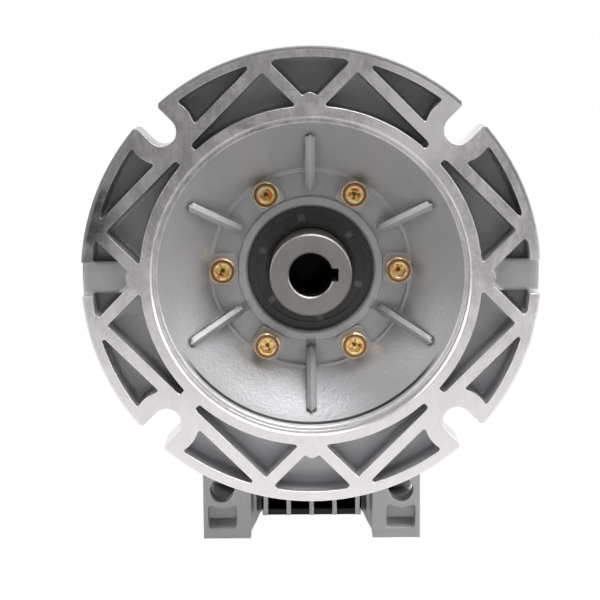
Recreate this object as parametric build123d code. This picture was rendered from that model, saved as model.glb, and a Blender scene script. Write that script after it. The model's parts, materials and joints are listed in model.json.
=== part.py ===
from build123d import *
from math import asin, atan2, cos, pi, radians, sin, sqrt, tan
import os

os.makedirs("parts", exist_ok=True)

# Worm gear reducer of size 050 with a C-face motor flange. Millimetres, +Z up.
# The origin is the centre of the four foot bolts on the mounting plane. The hollow output shaft
# lies along X, and the worm lies along Y above it, with its motor end towards -Y.

# Gear pair
MODULE = 2.5
WORM_STARTS = 2
WHEEL_TEETH = 30
WORM_PITCH_D = 25.0
PRESSURE_ANGLE = 20.0
WHEEL_WIDTH = 20.0
RIM_BORE_R = 31.0
THREAD_LENGTH = 44.0
FLANK_CLEARANCE = 0.15

WHEEL_PITCH_R = MODULE * WHEEL_TEETH / 2
WORM_PITCH_R = WORM_PITCH_D / 2
CENTRE_DISTANCE = WHEEL_PITCH_R + WORM_PITCH_R
LEAD = pi * MODULE * WORM_STARTS
TOOTH_GAP = 0.2 * MODULE
WORM_TIP_R = WORM_PITCH_R + MODULE
WORM_ROOT_R = WORM_PITCH_R - MODULE - TOOTH_GAP
THROAT_R = WORM_PITCH_R - MODULE
WHEEL_TIP_R = WHEEL_PITCH_R + 1.5 * MODULE

# Heights of the two axes
OUTPUT_Z = 60.0
WORM_Z = OUTPUT_Z + CENTRE_DISTANCE

# Fits and running gaps, all radial or per side
SEAT_FIT = 0.02
SPIGOT_FIT = 0.05
THREAD_FIT = 0.05
SCREW_CLEARANCE = 0.3
LIP_GAP = 0.1
BALL_GAP = 0.1
POCKET_GAP = 0.15
WHEEL_SPACE = 2.25

# Bearing sizes: bore, outside, width and ball diameters, and balls in one bearing
FRONT_BORE = 30.0
FRONT_OUTSIDE = 55.0
FRONT_WIDTH = 13.0
FRONT_BALL = 7.144
FRONT_BALLS = 11
REAR_BORE = 20.0
REAR_OUTSIDE = 47.0
REAR_WIDTH = 14.0
REAR_BALL = 7.938
REAR_BALLS = 8
OUTPUT_BORE = 40.0
OUTPUT_OUTSIDE = 68.0
OUTPUT_WIDTH = 15.0
OUTPUT_BALL = 7.938
OUTPUT_BALLS = 12

# Hollow output shaft
OUTPUT_SHAFT_PROUD = 3.5
OUTPUT_HOLE_R = 12.5
OUTPUT_KEY_WIDTH = 8.0
OUTPUT_KEY_REACH = 15.8
OUTPUT_SHOULDER_R = 23.5
HUB_WIDTH = 18.0
PIN_D = 6.0
PIN_LENGTH = 14.0
PIN_COUNT = 4

# Worm shaft, with stations measured along +Y from the output axis
MOTOR_BORE_D = 15.875
MOTOR_BORE_DEPTH = 46.0
MOTOR_KEY_WIDTH = 4.76
MOTOR_KEY_REACH = 10.08
SHAFT_SETBACK = 7.4
FRONT_SHOULDER_R = 17.5
FRONT_SHOULDER_LENGTH = 20.0
REAR_SHOULDER_R = 13.0
REAR_SHOULDER_LENGTH = 7.0
REAR_SHOULDER_Y = 36.0
REAR_TAIL = 4.5
NECK_UNDERCUT = 0.2

# Circlips
CLIP_WIDTH = 1.5
CLIP_DEPTH = 1.0
BORE_CLIP_WIDTH = 1.75

# Oil seals
INPUT_SEAL_OUTSIDE = 47.0
INPUT_SEAL_WIDTH = 7.0
INPUT_SEAL_DEPTH = 26.5
OUTPUT_SEAL_OUTSIDE = 62.0
OUTPUT_SEAL_WIDTH = 8.0
OUTPUT_SEAL_INSET = 1.0
OUTPUT_SEAL_BACK = 1.0
SEAL_NOTCHES = 6

# Motor flange, with depths measured back from its front face
FLANGE_R = 82.55
FLANGE_DISC = 17.0
FLANGE_DEPTH = 35.5
GASKET = 0.5
PILOT_R = 57.15
PILOT_DEPTH = 4.0
PILOT_CHAMFER = 0.7
PILOT_SHOULDER = 1.5
HUB_FACE_DEPTH = 24.0
HUB_FACE_R = 37.5
BOWL_BULGE = 0.8
BELL_WALL = 6.0
FLANGE_SPIGOT = 2.0
SEAL_WINDOW_R = 20.5
MOTOR_BOLT_CIRCLE = 149.225
MOTOR_SLOT_R = 5.3
MOTOR_SLOTS = 4
SLOT_MOUTH = 1.3
RING_WIDTH = 3.7
INNER_RING_WIDTH = 4.3
LACE_WIDTH = 4.1
CHORD_OFFSET = 66.0
CROSS_OFFSET = 59.6
SLOT_LAND_R = 11.8
DIAGONAL_LAND = 7.4
CROSS_BUMP_R = 2.8
CROSS_BUMP_Z = 63.4
POCKET_DEPTH = 13.5
POCKET_CORNER = 0.8
SIDE_GAP = 12.4
SIDE_PAD = 11.4
SIDE_GAP_DEPTH = 6.5
HUB_RING_R = 26.8
RECESS_R = 36.4
RECESS_DEPTH = 1.6
BOSS_WIDTH = 11.0
BELL_RIBS = 6
BELL_RIB_WIDTH = 3.6
BELL_RIB_DRAFT = 28.0
BELL_RIB_SINK = 1.0
BELL_RIB_START = 28.6
BELL_RIB_END = 51.0

# Screws
FLANGE_SCREWS = 6
FLANGE_SCREW_CIRCLE = 65.0
FLANGE_SCREW_D = 6.0
FLANGE_SCREW_HEAD_D = 10.0
FLANGE_SCREW_HEAD_H = 6.0
FLANGE_SCREW_HEX = 5.0
FLANGE_SCREW_GRIP = 12.0
COVER_SCREWS = 6
COVER_SCREW_CIRCLE = 96.0
COVER_SCREW_D = 5.0
COVER_SCREW_HEAD_D = 8.5
COVER_SCREW_HEAD_H = 5.0
COVER_SCREW_HEX = 4.0
COVER_SCREW_GRIP = 9.5
SCREW_END_SPACE = 1.5

# Housing
HOUSING_LENGTH = 120.0
HOUSING_WIDTH = 85.0
WORM_FRONT = 70.0
PAD_R = 39.0
PAD_LENGTH = 16.0
TUBE_R = 34.0
TUNNEL_R = 19.0
DRUM_WALL = 7.1
FLOOR_DROP = 0.4
HUB_R = 52.0
HUB_RIM = 18.5
HUB_BLEND = 4.0
SADDLE_WIDTH = 60.0
COVER_R = 54.0
COVER_THICKNESS = 12.0
COVER_RIM = 12.0
CHAMBER_LIP = 1.0
OUTPUT_PILOT_R = 35.0
OUTPUT_PILOT_HEIGHT = 2.0
OUTPUT_BOLT_CIRCLE = 85.0
OUTPUT_BOLTS = 4
OUTPUT_TAP_D = 6.8
OUTPUT_TAP_DEPTH = 11.0
O_RING_D = 3.0
O_RING_SETBACK = 4.0

# Feet, end plates and cooling fins
FOOT_HOLE_INSET = 7.5
FOOT_SPACING_Y = 80.0
FOOT_HOLE_D = 8.5
FOOT_WIDTH = 18.6
FOOT_THICKNESS = 8.0
END_PLATE = 8.0
END_PLATE_HEIGHT = 32.0
FRONT_END_HOLE_D = 9.8
REAR_END_HOLE_D = 9.0
END_HOLE_Z = 19.4
END_POCKET_WIDTH = 11.5
END_POCKET_BOTTOM = 3.7
END_POCKET_TOP = 13.2
END_POCKET_DEPTH = 5.0
END_POCKET_RIM = 2.4
WEB_THICKNESS = 4.2
FLOOR_THICKNESS = 2.4
FIN_COUNT = 5
FIN_PITCH = 9.0
FIN_WIDTH = 1.7
FIN_SETBACK = 1.0

# Plugs and rear cap
PLUG_D = 12.0
PLUG_HEAD_D = 17.0
PLUG_HEAD_H = 4.0
PLUG_LENGTH = 10.0
PLUG_HEX = 6.0
PLUG_BOSS_R = 10.5
WASHER = 1.0
FILL_PLUG_Y = 12.0
FILL_BOSS_HEIGHT = 1.5
PLUG_BOSS_DEPTH = 20.0
DRAIN_PLUG_Z = 27.0
CAP_WIDTH = 7.0

# Places that follow from the sizes above
CHAMBER_R = WHEEL_TIP_R + WHEEL_SPACE
DRUM_R = CHAMBER_R + DRUM_WALL
UNDERSIDE_Z = OUTPUT_Z - DRUM_R - FLOOR_DROP
SIDE_X = HOUSING_WIDTH / 2
END_Y = HOUSING_LENGTH / 2
FOOT_HOLE_X = SIDE_X - FOOT_HOLE_INSET
COVER_SEAT_X = SIDE_X - COVER_THICKNESS
FLANGE_BACK_Y = -WORM_FRONT - GASKET
FLANGE_FACE_Y = FLANGE_BACK_Y - FLANGE_DEPTH
SHAFT_FRONT_Y = FLANGE_FACE_Y + SHAFT_SETBACK
FRONT_BEARING_Y = -WORM_FRONT + FLANGE_SPIGOT
FRONT_SHOULDER_Y = FRONT_BEARING_Y + FRONT_WIDTH
REAR_BEARING_END_Y = REAR_SHOULDER_Y + REAR_WIDTH
OUTPUT_BEARING_END = SIDE_X - OUTPUT_SEAL_INSET - OUTPUT_SEAL_WIDTH - OUTPUT_SEAL_BACK
BEARING_INSET = OUTPUT_BEARING_END - OUTPUT_WIDTH
CHAMBER_END = BEARING_INSET - CHAMBER_LIP
OUTPUT_SHAFT_END = SIDE_X + OUTPUT_SHAFT_PROUD
TAP_DEPTH_FLANGE = FLANGE_SCREW_GRIP + SCREW_END_SPACE
TAP_DEPTH_COVER = COVER_SCREW_GRIP + SCREW_END_SPACE

# Local frames: turned pieces are drawn with their axis along X, then put on one of the two axes
ON_OUTPUT = Pos(0, 0, OUTPUT_Z)
ON_WORM = Pos(0, 0, WORM_Z) * Rot(0, 0, 90)
# Looking at the flange from the motor: local X is +X, local Y is +Z and local -Z runs into it
ON_FLANGE = Plane((0, FLANGE_FACE_Y, WORM_Z), x_dir=(1, 0, 0), z_dir=(0, -1, 0)).location


def turned(*profile):
    """Solid of revolution about X of the closed profile of (station, radius) points."""
    return revolve(make_face(Polyline(*profile, close=True)), Axis.X)


def ring(start, end, outer, inner=0.0):
    """Plain ring about X, or a disc where no inner radius is given."""
    return turned((start, inner), (start, outer), (end, outer), (end, inner))


def block(x, y, z):
    """Box between pairs of limits along X, Y and Z."""
    size = (x[1] - x[0], y[1] - y[0], z[1] - z[0])
    return Pos((x[0] + x[1]) / 2, (y[0] + y[1]) / 2, (z[0] + z[1]) / 2) * Box(*size)


def spaced(count, radius, start=0.0):
    """Locations round a circle in the XY plane, each turned to face outward."""
    return [Rot(0, 0, start + 360 / count * k) * Pos(radius, 0, 0) for k in range(count)]


def round_output(count, radius, x, start=0.0):
    """Locations round the output axis at the face x, with local Z along +X."""
    face = Pos(x, 0, OUTPUT_Z) * Rot(0, 90, 0)
    return [face * spot for spot in spaced(count, radius, start)]


def round_flange(count, radius, depth, start=0.0):
    """Locations round the motor flange axis at a depth behind its front face."""
    return [ON_FLANGE * Pos(0, 0, -depth) * spot for spot in spaced(count, radius, start)]


def hole(diameter, depth):
    """Cylinder that runs from the local origin down along -Z, for drilling."""
    return Pos(0, 0, -depth / 2) * Cylinder(diameter / 2, depth)


def group(solids):
    """Separate solids kept together in one node."""
    return Compound(children=list(solids))


def cap_screw(diameter, head_d, head_h, hex_size, grip):
    """Socket head cap screw that stands on the local XY plane with its shank along -Z."""
    edge = 0.05 * head_d
    head = chamfer((Pos(0, 0, head_h / 2) * Cylinder(head_d / 2, head_h)).edges().sort_by(Axis.Z)[-1], edge)
    shank = Pos(0, 0, -grip / 2) * Cylinder(diameter / 2 - THREAD_FIT, grip)
    tip = chamfer(shank.edges().sort_by(Axis.Z)[0], 0.12 * diameter)
    socket = extrude(RegularPolygon(hex_size / 2, 6, major_radius=False), head_h * 0.6)
    lead_in = Pos(0, 0, head_h) * Cone(0.3 * hex_size, 0.62 * hex_size, 0.64 * hex_size)
    return head + tip - Pos(0, 0, head_h * 0.4) * socket - lead_in


def sealing_plug():
    """Hex socket oil plug that stands on the local XY plane with its shank along -Z."""
    return cap_screw(PLUG_D, PLUG_HEAD_D, PLUG_HEAD_H, PLUG_HEX, PLUG_LENGTH)


def circlip(inner, outer, width, ears_out):
    """Retaining ring in the local XY plane with its opening and ears at +Y."""
    middle = (inner + outer) / 2
    ear = (outer - inner) * 0.62
    ear_y = middle + (ear * 0.35 if ears_out else -ear * 0.35)
    gap = ear * 1.5
    body = Circle(outer) - Circle(inner)
    body -= Pos(0, middle) * Rectangle(gap, (outer - inner) * 3)
    for side in (-1, 1):
        spot = Pos(side * (gap / 2 + ear * 0.9), ear_y)
        body += spot * Circle(ear)
        body -= spot * Circle(ear * 0.4)
    return extrude(body, width)


def oil_seal(shaft_d, outside, width):
    """Lip seal about X with its open front at station 0 and its spring lip behind."""
    wall = outside / 2 - SEAT_FIT
    shaft = shaft_d / 2
    reach = wall - shaft
    return turned(
        (0, wall), (0, wall - 0.36 * reach), (0.5, wall - 0.38 * reach), (0.5, shaft + 0.2 * reach),
        (0.12 * width, shaft + 0.4), (0.22 * width, shaft + 0.4), (0.3 * width, shaft + 0.2 * reach),
        (0.5 * width, shaft + 0.2 * reach), (0.74 * width, shaft + LIP_GAP), (0.86 * width, shaft + 0.12 * reach),
        (0.92 * width, shaft + 0.34 * reach), (0.78 * width, shaft + 0.42 * reach),
        (0.34 * width, shaft + 0.42 * reach), (0.34 * width, wall - 0.2 * reach),
        (width, wall - 0.2 * reach), (width, wall),
    )


def deep_groove_bearing(name, place, bore, outside, width, ball_d, balls):
    """Nodes of one bearing, put with its end face at a place whose local X is the bearing's axis."""
    pitch_r = (bore + outside) / 4
    land = 0.3 * ball_d
    corner = 0.8
    centre = Pos(width / 2, 0, 0) * Rot(0, 90, 0)
    race = centre * Torus(pitch_r, ball_d / 2 + BALL_GAP)
    outer_r = outside / 2 - SEAT_FIT
    inner_r = bore / 2 + SEAT_FIT
    outer = turned(
        (0, pitch_r + land), (0, outer_r - corner), (corner, outer_r), (width - corner, outer_r),
        (width, outer_r - corner), (width, pitch_r + land),
    ) - race
    inner = turned(
        (0, pitch_r - land), (0, inner_r + corner), (corner, inner_r), (width - corner, inner_r),
        (width, inner_r + corner), (width, pitch_r - land),
    ) - race
    spots = [centre * spot for spot in spaced(balls, pitch_r)]
    pocket = Rot(0, 90, 0) * Cylinder(ball_d / 2 + POCKET_GAP, ball_d)
    half = 0.66 * ball_d
    cage = ring(width / 2 - half, width / 2 + half, pitch_r + 0.5 * land, pitch_r - 0.5 * land)
    cage -= [spot * pocket for spot in spots]
    return {
        name + "_outer_ring": place * outer,
        name + "_inner_ring": place * inner,
        name + "_balls": group(place * spot * Sphere(ball_d / 2) for spot in spots),
        name + "_cage": place * cage,
    }


def worm_half_thickness(radius):
    """Half the axial thickness of the worm thread at a radius."""
    return pi * MODULE / 4 - (radius - WORM_PITCH_R) * tan(radians(PRESSURE_ANGLE))


def worm_section():
    """Cross-section of the worm: all starts of its thread on the core, one start facing +Y.

    A point of the flank at radius r, half the thread's thickness away from its middle along the
    axis, lies at the angle 2 pi * half thickness(r) / LEAD from the middle of the section's tooth.
    """
    edges = []
    corners = []
    for start in range(WORM_STARTS):
        middle = pi / 2 + 2 * pi * start / WORM_STARTS
        flanks = []
        for side in (-1, 1):
            radii = [WORM_ROOT_R + (WORM_TIP_R - WORM_ROOT_R) * k / 6 for k in range(7)]
            angles = [middle + side * 2 * pi * worm_half_thickness(r) / LEAD for r in radii]
            flanks.append([(r * cos(a), r * sin(a)) for r, a in zip(radii, angles)])
        crest = (WORM_TIP_R * cos(middle), WORM_TIP_R * sin(middle))
        edges += [Spline(*flanks[0]), ThreePointArc(flanks[0][-1], crest, flanks[1][-1]), Spline(*flanks[1])]
        corners.append((flanks[0][0], flanks[1][0], middle + pi / WORM_STARTS))
    for k, (_, leave, valley) in enumerate(corners):
        arrive = corners[(k + 1) % WORM_STARTS][0]
        edges.append(ThreePointArc(leave, (WORM_ROOT_R * cos(valley), WORM_ROOT_R * sin(valley)), arrive))
    return make_face(edges)


def worm_thread():
    """The threaded length of the worm about Z: its cross-section twisted by one turn per lead."""
    turn = 360 * THREAD_LENGTH / LEAD
    low_end = (0, 0, -THREAD_LENGTH / 2)
    section = Pos(*low_end) * Rot(0, 0, -turn / 2) * worm_section()
    return Solid.extrude_linear_with_rotation(section.face(), low_end, (0, 0, THREAD_LENGTH), turn)


def gap_flank(offset, side):
    """Boundary of one wheel tooth gap in the plane at an offset along the wheel axis.

    The worm thread crosses that plane as a rack whose flank at radius r from the worm axis lies at
        y(r) = -LEAD * asin(offset / r) / (2 pi) + side * half thickness(r),
        z(r) = CENTRE_DISTANCE - sqrt(r^2 - offset^2)  above the wheel axis.
    While the rack moves by s, the wheel turns by s / pitch radius. Seen from the wheel, the gap
    reaches at each distance from its axis as far as any of these positions does.
    """
    low_r = max(WORM_ROOT_R - 1.2, abs(offset) + 0.6)
    radii = [low_r + (WORM_TIP_R - low_r) * k / 24 for k in range(25)]
    flank = []
    for r in radii:
        y = -LEAD * asin(offset / r) / 2 / pi + side * worm_half_thickness(r)
        flank.append((y, CENTRE_DISTANCE - sqrt(r * r - offset * offset)))
    bottom = CENTRE_DISTANCE - sqrt(WORM_TIP_R ** 2 - offset ** 2)
    top = WHEEL_TIP_R + 0.8
    levels = [bottom + 0.05 + (top - bottom - 0.05) * k / 3 for k in range(4)]
    reach = [None] * len(levels)
    for step in range(-40, 41):
        shift = step * 0.25
        turn = shift / WHEEL_PITCH_R
        polar = []
        for y, z in flank:
            across = (y - shift) * cos(turn) + z * sin(turn)
            up = -(y - shift) * sin(turn) + z * cos(turn)
            polar.append((sqrt(across * across + up * up), atan2(across, up)))
        for k, level in enumerate(levels):
            for (far, a), (near, b) in zip(polar, polar[1:]):
                if near <= level <= far and far > near:
                    angle = b + (a - b) * (level - near) / (far - near)
                    if reach[k] is None or side * angle > side * reach[k]:
                        reach[k] = angle
    root = CENTRE_DISTANCE - sqrt((WORM_TIP_R + TOOTH_GAP) ** 2 - offset ** 2)
    outline = [(root, reach[0] + side * FLANK_CLEARANCE / root)]
    outline += [(level, angle + side * FLANK_CLEARANCE / level) for level, angle in zip(levels, reach)]
    return [(offset, rho * sin(angle), rho * cos(angle)) for rho, angle in outline]


def wheel_gap_cutter():
    """Solid of one tooth gap about the X axis, at the top of the wheel."""
    sections = []
    planes = 5
    for k in range(planes):
        offset = (WHEEL_WIDTH / 2 + 0.6) * (2 * k / (planes - 1) - 1)
        left = gap_flank(offset, -1)
        right = gap_flank(offset, 1)
        edges = [Spline(*left), Line(left[-1], right[-1]), Spline(*reversed(right)), Line(right[0], left[0])]
        sections.append(Face(Wire(edges)))
    return loft(sections)


def wheel_rim():
    """Bronze rim about X: throated blank with its tooth gaps cut."""
    half = WHEEL_WIDTH / 2
    edge = 1.2
    throat_x = sqrt(THROAT_R ** 2 - (CENTRE_DISTANCE - WHEEL_TIP_R) ** 2)
    outline = [
        Line((-half, RIM_BORE_R), (-half, WHEEL_TIP_R - edge)),
        Line((-half, WHEEL_TIP_R - edge), (-half + edge, WHEEL_TIP_R)),
        Line((-half + edge, WHEEL_TIP_R), (-throat_x, WHEEL_TIP_R)),
        ThreePointArc((-throat_x, WHEEL_TIP_R), (0, CENTRE_DISTANCE - THROAT_R), (throat_x, WHEEL_TIP_R)),
        Line((throat_x, WHEEL_TIP_R), (half - edge, WHEEL_TIP_R)),
        Line((half - edge, WHEEL_TIP_R), (half, WHEEL_TIP_R - edge)),
        Line((half, WHEEL_TIP_R - edge), (half, RIM_BORE_R)),
        Line((half, RIM_BORE_R), (-half, RIM_BORE_R)),
    ]
    blank = revolve(make_face(outline), Axis.X)
    cutter = wheel_gap_cutter()
    pitch = 360 / WHEEL_TEETH
    return blank - [Rot(pitch * k, 0, 0) * cutter for k in range(WHEEL_TEETH)]


def wheel_pin_spots():
    """Locations of the locking pins on the joint between rim and hub, with local Z along +X."""
    face = Pos(WHEEL_WIDTH / 2, 0, 0) * Rot(0, 90, 0)
    return [face * spot for spot in spaced(PIN_COUNT, RIM_BORE_R, 45)]


def output_shaft():
    """Hollow output shaft with the wheel hub in one piece, about X."""
    end = OUTPUT_SHAFT_END
    journal = OUTPUT_BORE / 2
    edge = 1.0
    hub = HUB_WIDTH / 2
    body = turned(
        (-end, 0), (-end, journal - edge), (-end + edge, journal), (-BEARING_INSET, journal),
        (-BEARING_INSET, OUTPUT_SHOULDER_R), (-hub, OUTPUT_SHOULDER_R + 1.5), (-hub, RIM_BORE_R - SEAT_FIT),
        (hub, RIM_BORE_R - SEAT_FIT), (hub, OUTPUT_SHOULDER_R + 1.5), (BEARING_INSET, OUTPUT_SHOULDER_R),
        (BEARING_INSET, journal), (end - edge, journal), (end, journal - edge), (end, 0),
    )
    half_key = OUTPUT_KEY_WIDTH / 2
    body -= ring(-end, end, OUTPUT_HOLE_R)
    body -= block((-end, end), (-half_key, half_key), (0, OUTPUT_KEY_REACH))
    return body


def worm_shaft():
    """Worm shaft about Y: hollow motor end, bearing seats, thread and tail."""
    front_r = FRONT_BORE / 2
    rear_r = REAR_BORE / 2
    neck_r = WORM_ROOT_R - NECK_UNDERCUT
    thread_end = THREAD_LENGTH / 2
    clip_end = FRONT_BEARING_Y
    tail_clip = REAR_BEARING_END_Y
    body = turned(
        (SHAFT_FRONT_Y, 0), (SHAFT_FRONT_Y, front_r - 0.5), (SHAFT_FRONT_Y + 0.5, front_r),
        (clip_end - CLIP_WIDTH, front_r), (clip_end - CLIP_WIDTH, front_r - CLIP_DEPTH),
        (clip_end, front_r - CLIP_DEPTH), (clip_end, front_r), (FRONT_SHOULDER_Y, front_r),
        (FRONT_SHOULDER_Y, FRONT_SHOULDER_R), (FRONT_SHOULDER_Y + FRONT_SHOULDER_LENGTH, FRONT_SHOULDER_R),
        (FRONT_SHOULDER_Y + FRONT_SHOULDER_LENGTH + 4, neck_r), (-thread_end + 2, neck_r),
        (-thread_end + 2, 0),
    )
    tail = turned(
        (thread_end - 2, 0), (thread_end - 2, neck_r), (REAR_SHOULDER_Y - REAR_SHOULDER_LENGTH, neck_r),
        (REAR_SHOULDER_Y - REAR_SHOULDER_LENGTH, REAR_SHOULDER_R), (REAR_SHOULDER_Y, REAR_SHOULDER_R),
        (REAR_SHOULDER_Y, rear_r), (tail_clip, rear_r), (tail_clip, rear_r - CLIP_DEPTH),
        (tail_clip + CLIP_WIDTH, rear_r - CLIP_DEPTH), (tail_clip + CLIP_WIDTH, rear_r),
        (tail_clip + REAR_TAIL - 0.8, rear_r), (tail_clip + REAR_TAIL, rear_r - 0.8), (tail_clip + REAR_TAIL, 0),
    )
    thread = Rot(-90, 0, 0) * worm_thread()
    shaft = Pos(0, 0, WORM_Z) * (Rot(0, 0, 90) * (body + tail) + thread)
    bore_end = SHAFT_FRONT_Y + MOTOR_BORE_DEPTH
    shaft -= ON_WORM * ring(SHAFT_FRONT_Y, bore_end, MOTOR_BORE_D / 2)
    shaft -= ON_WORM * turned(
        (SHAFT_FRONT_Y, 0), (SHAFT_FRONT_Y, MOTOR_BORE_D / 2 + 0.6), (SHAFT_FRONT_Y + 0.6, MOTOR_BORE_D / 2),
        (SHAFT_FRONT_Y + 0.6, 0),
    )
    half_key = MOTOR_KEY_WIDTH / 2
    key = block((0, MOTOR_KEY_REACH), (SHAFT_FRONT_Y, bore_end), (WORM_Z - half_key, WORM_Z + half_key))
    return shaft - key


def flange_lace():
    """Sketch of the cast pockets in the front of the motor flange, between its ribs."""
    outer = FLANGE_R - RING_WIDTH
    inner = PILOT_R + INNER_RING_WIDTH
    web = Circle(outer) - Circle(inner)
    slot_circle_r = MOTOR_BOLT_CIRCLE / 2
    for k in range(MOTOR_SLOTS):
        slot_angle = 360 / MOTOR_SLOTS * (k + 0.5)
        web -= Rot(0, 0, slot_angle) * Pos(CHORD_OFFSET, 0) * Rectangle(LACE_WIDTH, 2 * FLANGE_R)
        web -= Rot(0, 0, slot_angle) * Pos(slot_circle_r, 0) * Circle(SLOT_LAND_R)
        web -= Rot(0, 0, slot_angle) * Pos((inner + outer) / 2, 0) * Rectangle(outer, DIAGONAL_LAND)
        corner = Rot(0, 0, 360 / MOTOR_SLOTS * k)
        for side in (-1, 1):
            strip = Pos(FLANGE_R / 2, 0) * Rectangle(FLANGE_R, LACE_WIDTH)
            web -= corner * Pos(CROSS_OFFSET, 0) * Rot(0, 0, 45 * side) * strip
        web -= corner * Pos(CROSS_BUMP_Z, 0) * Circle(CROSS_BUMP_R)
    return web


def flange_pockets():
    """Solids that cut the pockets of the flange face, in the flange's local frame."""
    cutters = []
    for face in flange_lace().faces():
        if face.area < 4:
            continue
        rounded = fillet(Sketch(face.wrapped).vertices(), POCKET_CORNER)
        cutters.append(extrude(rounded, -POCKET_DEPTH))
    return cutters


def motor_flange():
    """Cast motor flange in its local frame: disc with cut pockets, bell, hub and spigot."""
    bowl_top = (PILOT_R - PILOT_SHOULDER, -PILOT_DEPTH)
    bowl_end = (HUB_FACE_R, -HUB_FACE_DEPTH)
    middle_x = (bowl_top[0] + bowl_end[0]) / 2 + BOWL_BULGE
    middle_y = (bowl_top[1] + bowl_end[1]) / 2 - BOWL_BULGE
    seal_r = INPUT_SEAL_OUTSIDE / 2
    seal_end = -(INPUT_SEAL_DEPTH + INPUT_SEAL_WIDTH)
    spigot_r = FRONT_OUTSIDE / 2 - SPIGOT_FIT
    bell_r = PILOT_R + BELL_WALL
    outline = [
        Polyline(
            (PILOT_R + PILOT_CHAMFER, 0), (FLANGE_R - 0.5, 0), (FLANGE_R, -0.5), (FLANGE_R, -FLANGE_DISC + 1),
            (FLANGE_R - 1, -FLANGE_DISC), (bell_r, -FLANGE_DISC), (bell_r - 3, -FLANGE_DISC - 3),
            (PAD_R, -FLANGE_DEPTH + 4), (PAD_R, -FLANGE_DEPTH), (spigot_r, -FLANGE_DEPTH),
            (spigot_r, -FLANGE_DEPTH - GASKET - FLANGE_SPIGOT), (SEAL_WINDOW_R, -FLANGE_DEPTH - GASKET - FLANGE_SPIGOT),
            (SEAL_WINDOW_R, seal_end), (seal_r, seal_end), (seal_r, -HUB_FACE_DEPTH - 0.8),
            (seal_r + 0.8, -HUB_FACE_DEPTH), bowl_end,
        ),
        ThreePointArc(bowl_end, (middle_x, middle_y), bowl_top),
        Polyline(bowl_top, (PILOT_R, -PILOT_DEPTH), (PILOT_R, -PILOT_CHAMFER), (PILOT_R + PILOT_CHAMFER, 0)),
    ]
    body = revolve(Plane.XZ * make_face(outline), Axis.Z)
    recess = Circle(RECESS_R) - Circle(HUB_RING_R)
    for spot in spaced(FLANGE_SCREWS, FLANGE_SCREW_CIRCLE / 2):
        recess -= spot * Pos(2, 0) * RectangleRounded(BOSS_WIDTH + 4, BOSS_WIDTH, 2.5)
    body -= Pos(0, 0, -HUB_FACE_DEPTH) * extrude(recess, -RECESS_DEPTH)
    slope = (HUB_FACE_DEPTH - PILOT_DEPTH) / (PILOT_R - PILOT_SHOULDER - HUB_FACE_R)
    rib_end_depth = PILOT_DEPTH + slope * (PILOT_R - PILOT_SHOULDER - BELL_RIB_END)
    low = -HUB_FACE_DEPTH - RECESS_DEPTH - BELL_RIB_SINK
    rib_outline = Plane.XZ * make_face(
        Polyline(
            (BELL_RIB_START, low), (BELL_RIB_START, -HUB_FACE_DEPTH + 1), (BELL_RIB_START + 4, -HUB_FACE_DEPTH + 4),
            (BELL_RIB_END, -rib_end_depth + 1), (BELL_RIB_END, -rib_end_depth - BELL_RIB_SINK),
            (HUB_FACE_R, low), close=True,
        )
    )
    rib = extrude(rib_outline, BELL_RIB_WIDTH / 2, both=True, taper=BELL_RIB_DRAFT)
    body += [Rot(0, 0, 360 / BELL_RIBS * (k + 0.5)) * rib for k in range(BELL_RIBS)]
    body -= flange_pockets()
    slot_circle_r = MOTOR_BOLT_CIRCLE / 2
    mouth = sqrt(FLANGE_R ** 2 - MOTOR_SLOT_R ** 2) - slot_circle_r
    wide = MOTOR_SLOT_R + 2 * SLOT_MOUTH
    right = [(0, -MOTOR_SLOT_R), (mouth - SLOT_MOUTH, -MOTOR_SLOT_R), (mouth + SLOT_MOUTH, -wide)]
    left = [(x, -y) for x, y in reversed(right)]
    slot = Circle(MOTOR_SLOT_R) + make_face(Polyline(*right, *left, close=True))
    slot_cut = extrude(slot, -FLANGE_DISC - 2)
    for k in range(MOTOR_SLOTS):
        body -= Rot(0, 0, 360 / MOTOR_SLOTS * (k + 0.5)) * Pos(slot_circle_r, 0, 1) * slot_cut
    pocket_inner = CROSS_BUMP_Z + CROSS_BUMP_R
    pad_length = FLANGE_R - pocket_inner
    pad_depth = POCKET_DEPTH - SIDE_GAP_DEPTH + 1
    for turn in (0, 180):
        here = Rot(0, 0, turn)
        gap = Pos(FLANGE_R, 0, -SIDE_GAP_DEPTH / 2) * Box(4 * RING_WIDTH, SIDE_GAP, SIDE_GAP_DEPTH)
        body -= here * gap
        pad = Pos(FLANGE_R - pad_length / 2 - 1.2, 0, -SIDE_GAP_DEPTH - pad_depth / 2)
        body += here * pad * Box(pad_length, SIDE_PAD, pad_depth)
    for spot in spaced(FLANGE_SCREWS, FLANGE_SCREW_CIRCLE / 2):
        body -= spot * Pos(0, 0, -HUB_FACE_DEPTH + 1) * hole(FLANGE_SCREW_D + 2 * SCREW_CLEARANCE, FLANGE_DEPTH)
    flat_top = Pos(0, TUBE_R + PAD_R, -FLANGE_DEPTH) * Box(4 * PAD_R, 2 * PAD_R, 8)
    return body - flat_top


def flange_gasket():
    """Flat gasket between the motor flange and the housing, in the flange's local frame."""
    sheet = Circle(PAD_R - 0.3) - Circle(FRONT_OUTSIDE / 2)
    sheet -= Pos(0, TUBE_R + PAD_R) * Rectangle(4 * PAD_R, 2 * PAD_R)
    for spot in spaced(FLANGE_SCREWS, FLANGE_SCREW_CIRCLE / 2):
        sheet -= spot * Circle(FLANGE_SCREW_D / 2 + SCREW_CLEARANCE)
    return Pos(0, 0, -FLANGE_DEPTH) * extrude(sheet, -GASKET)


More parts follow.
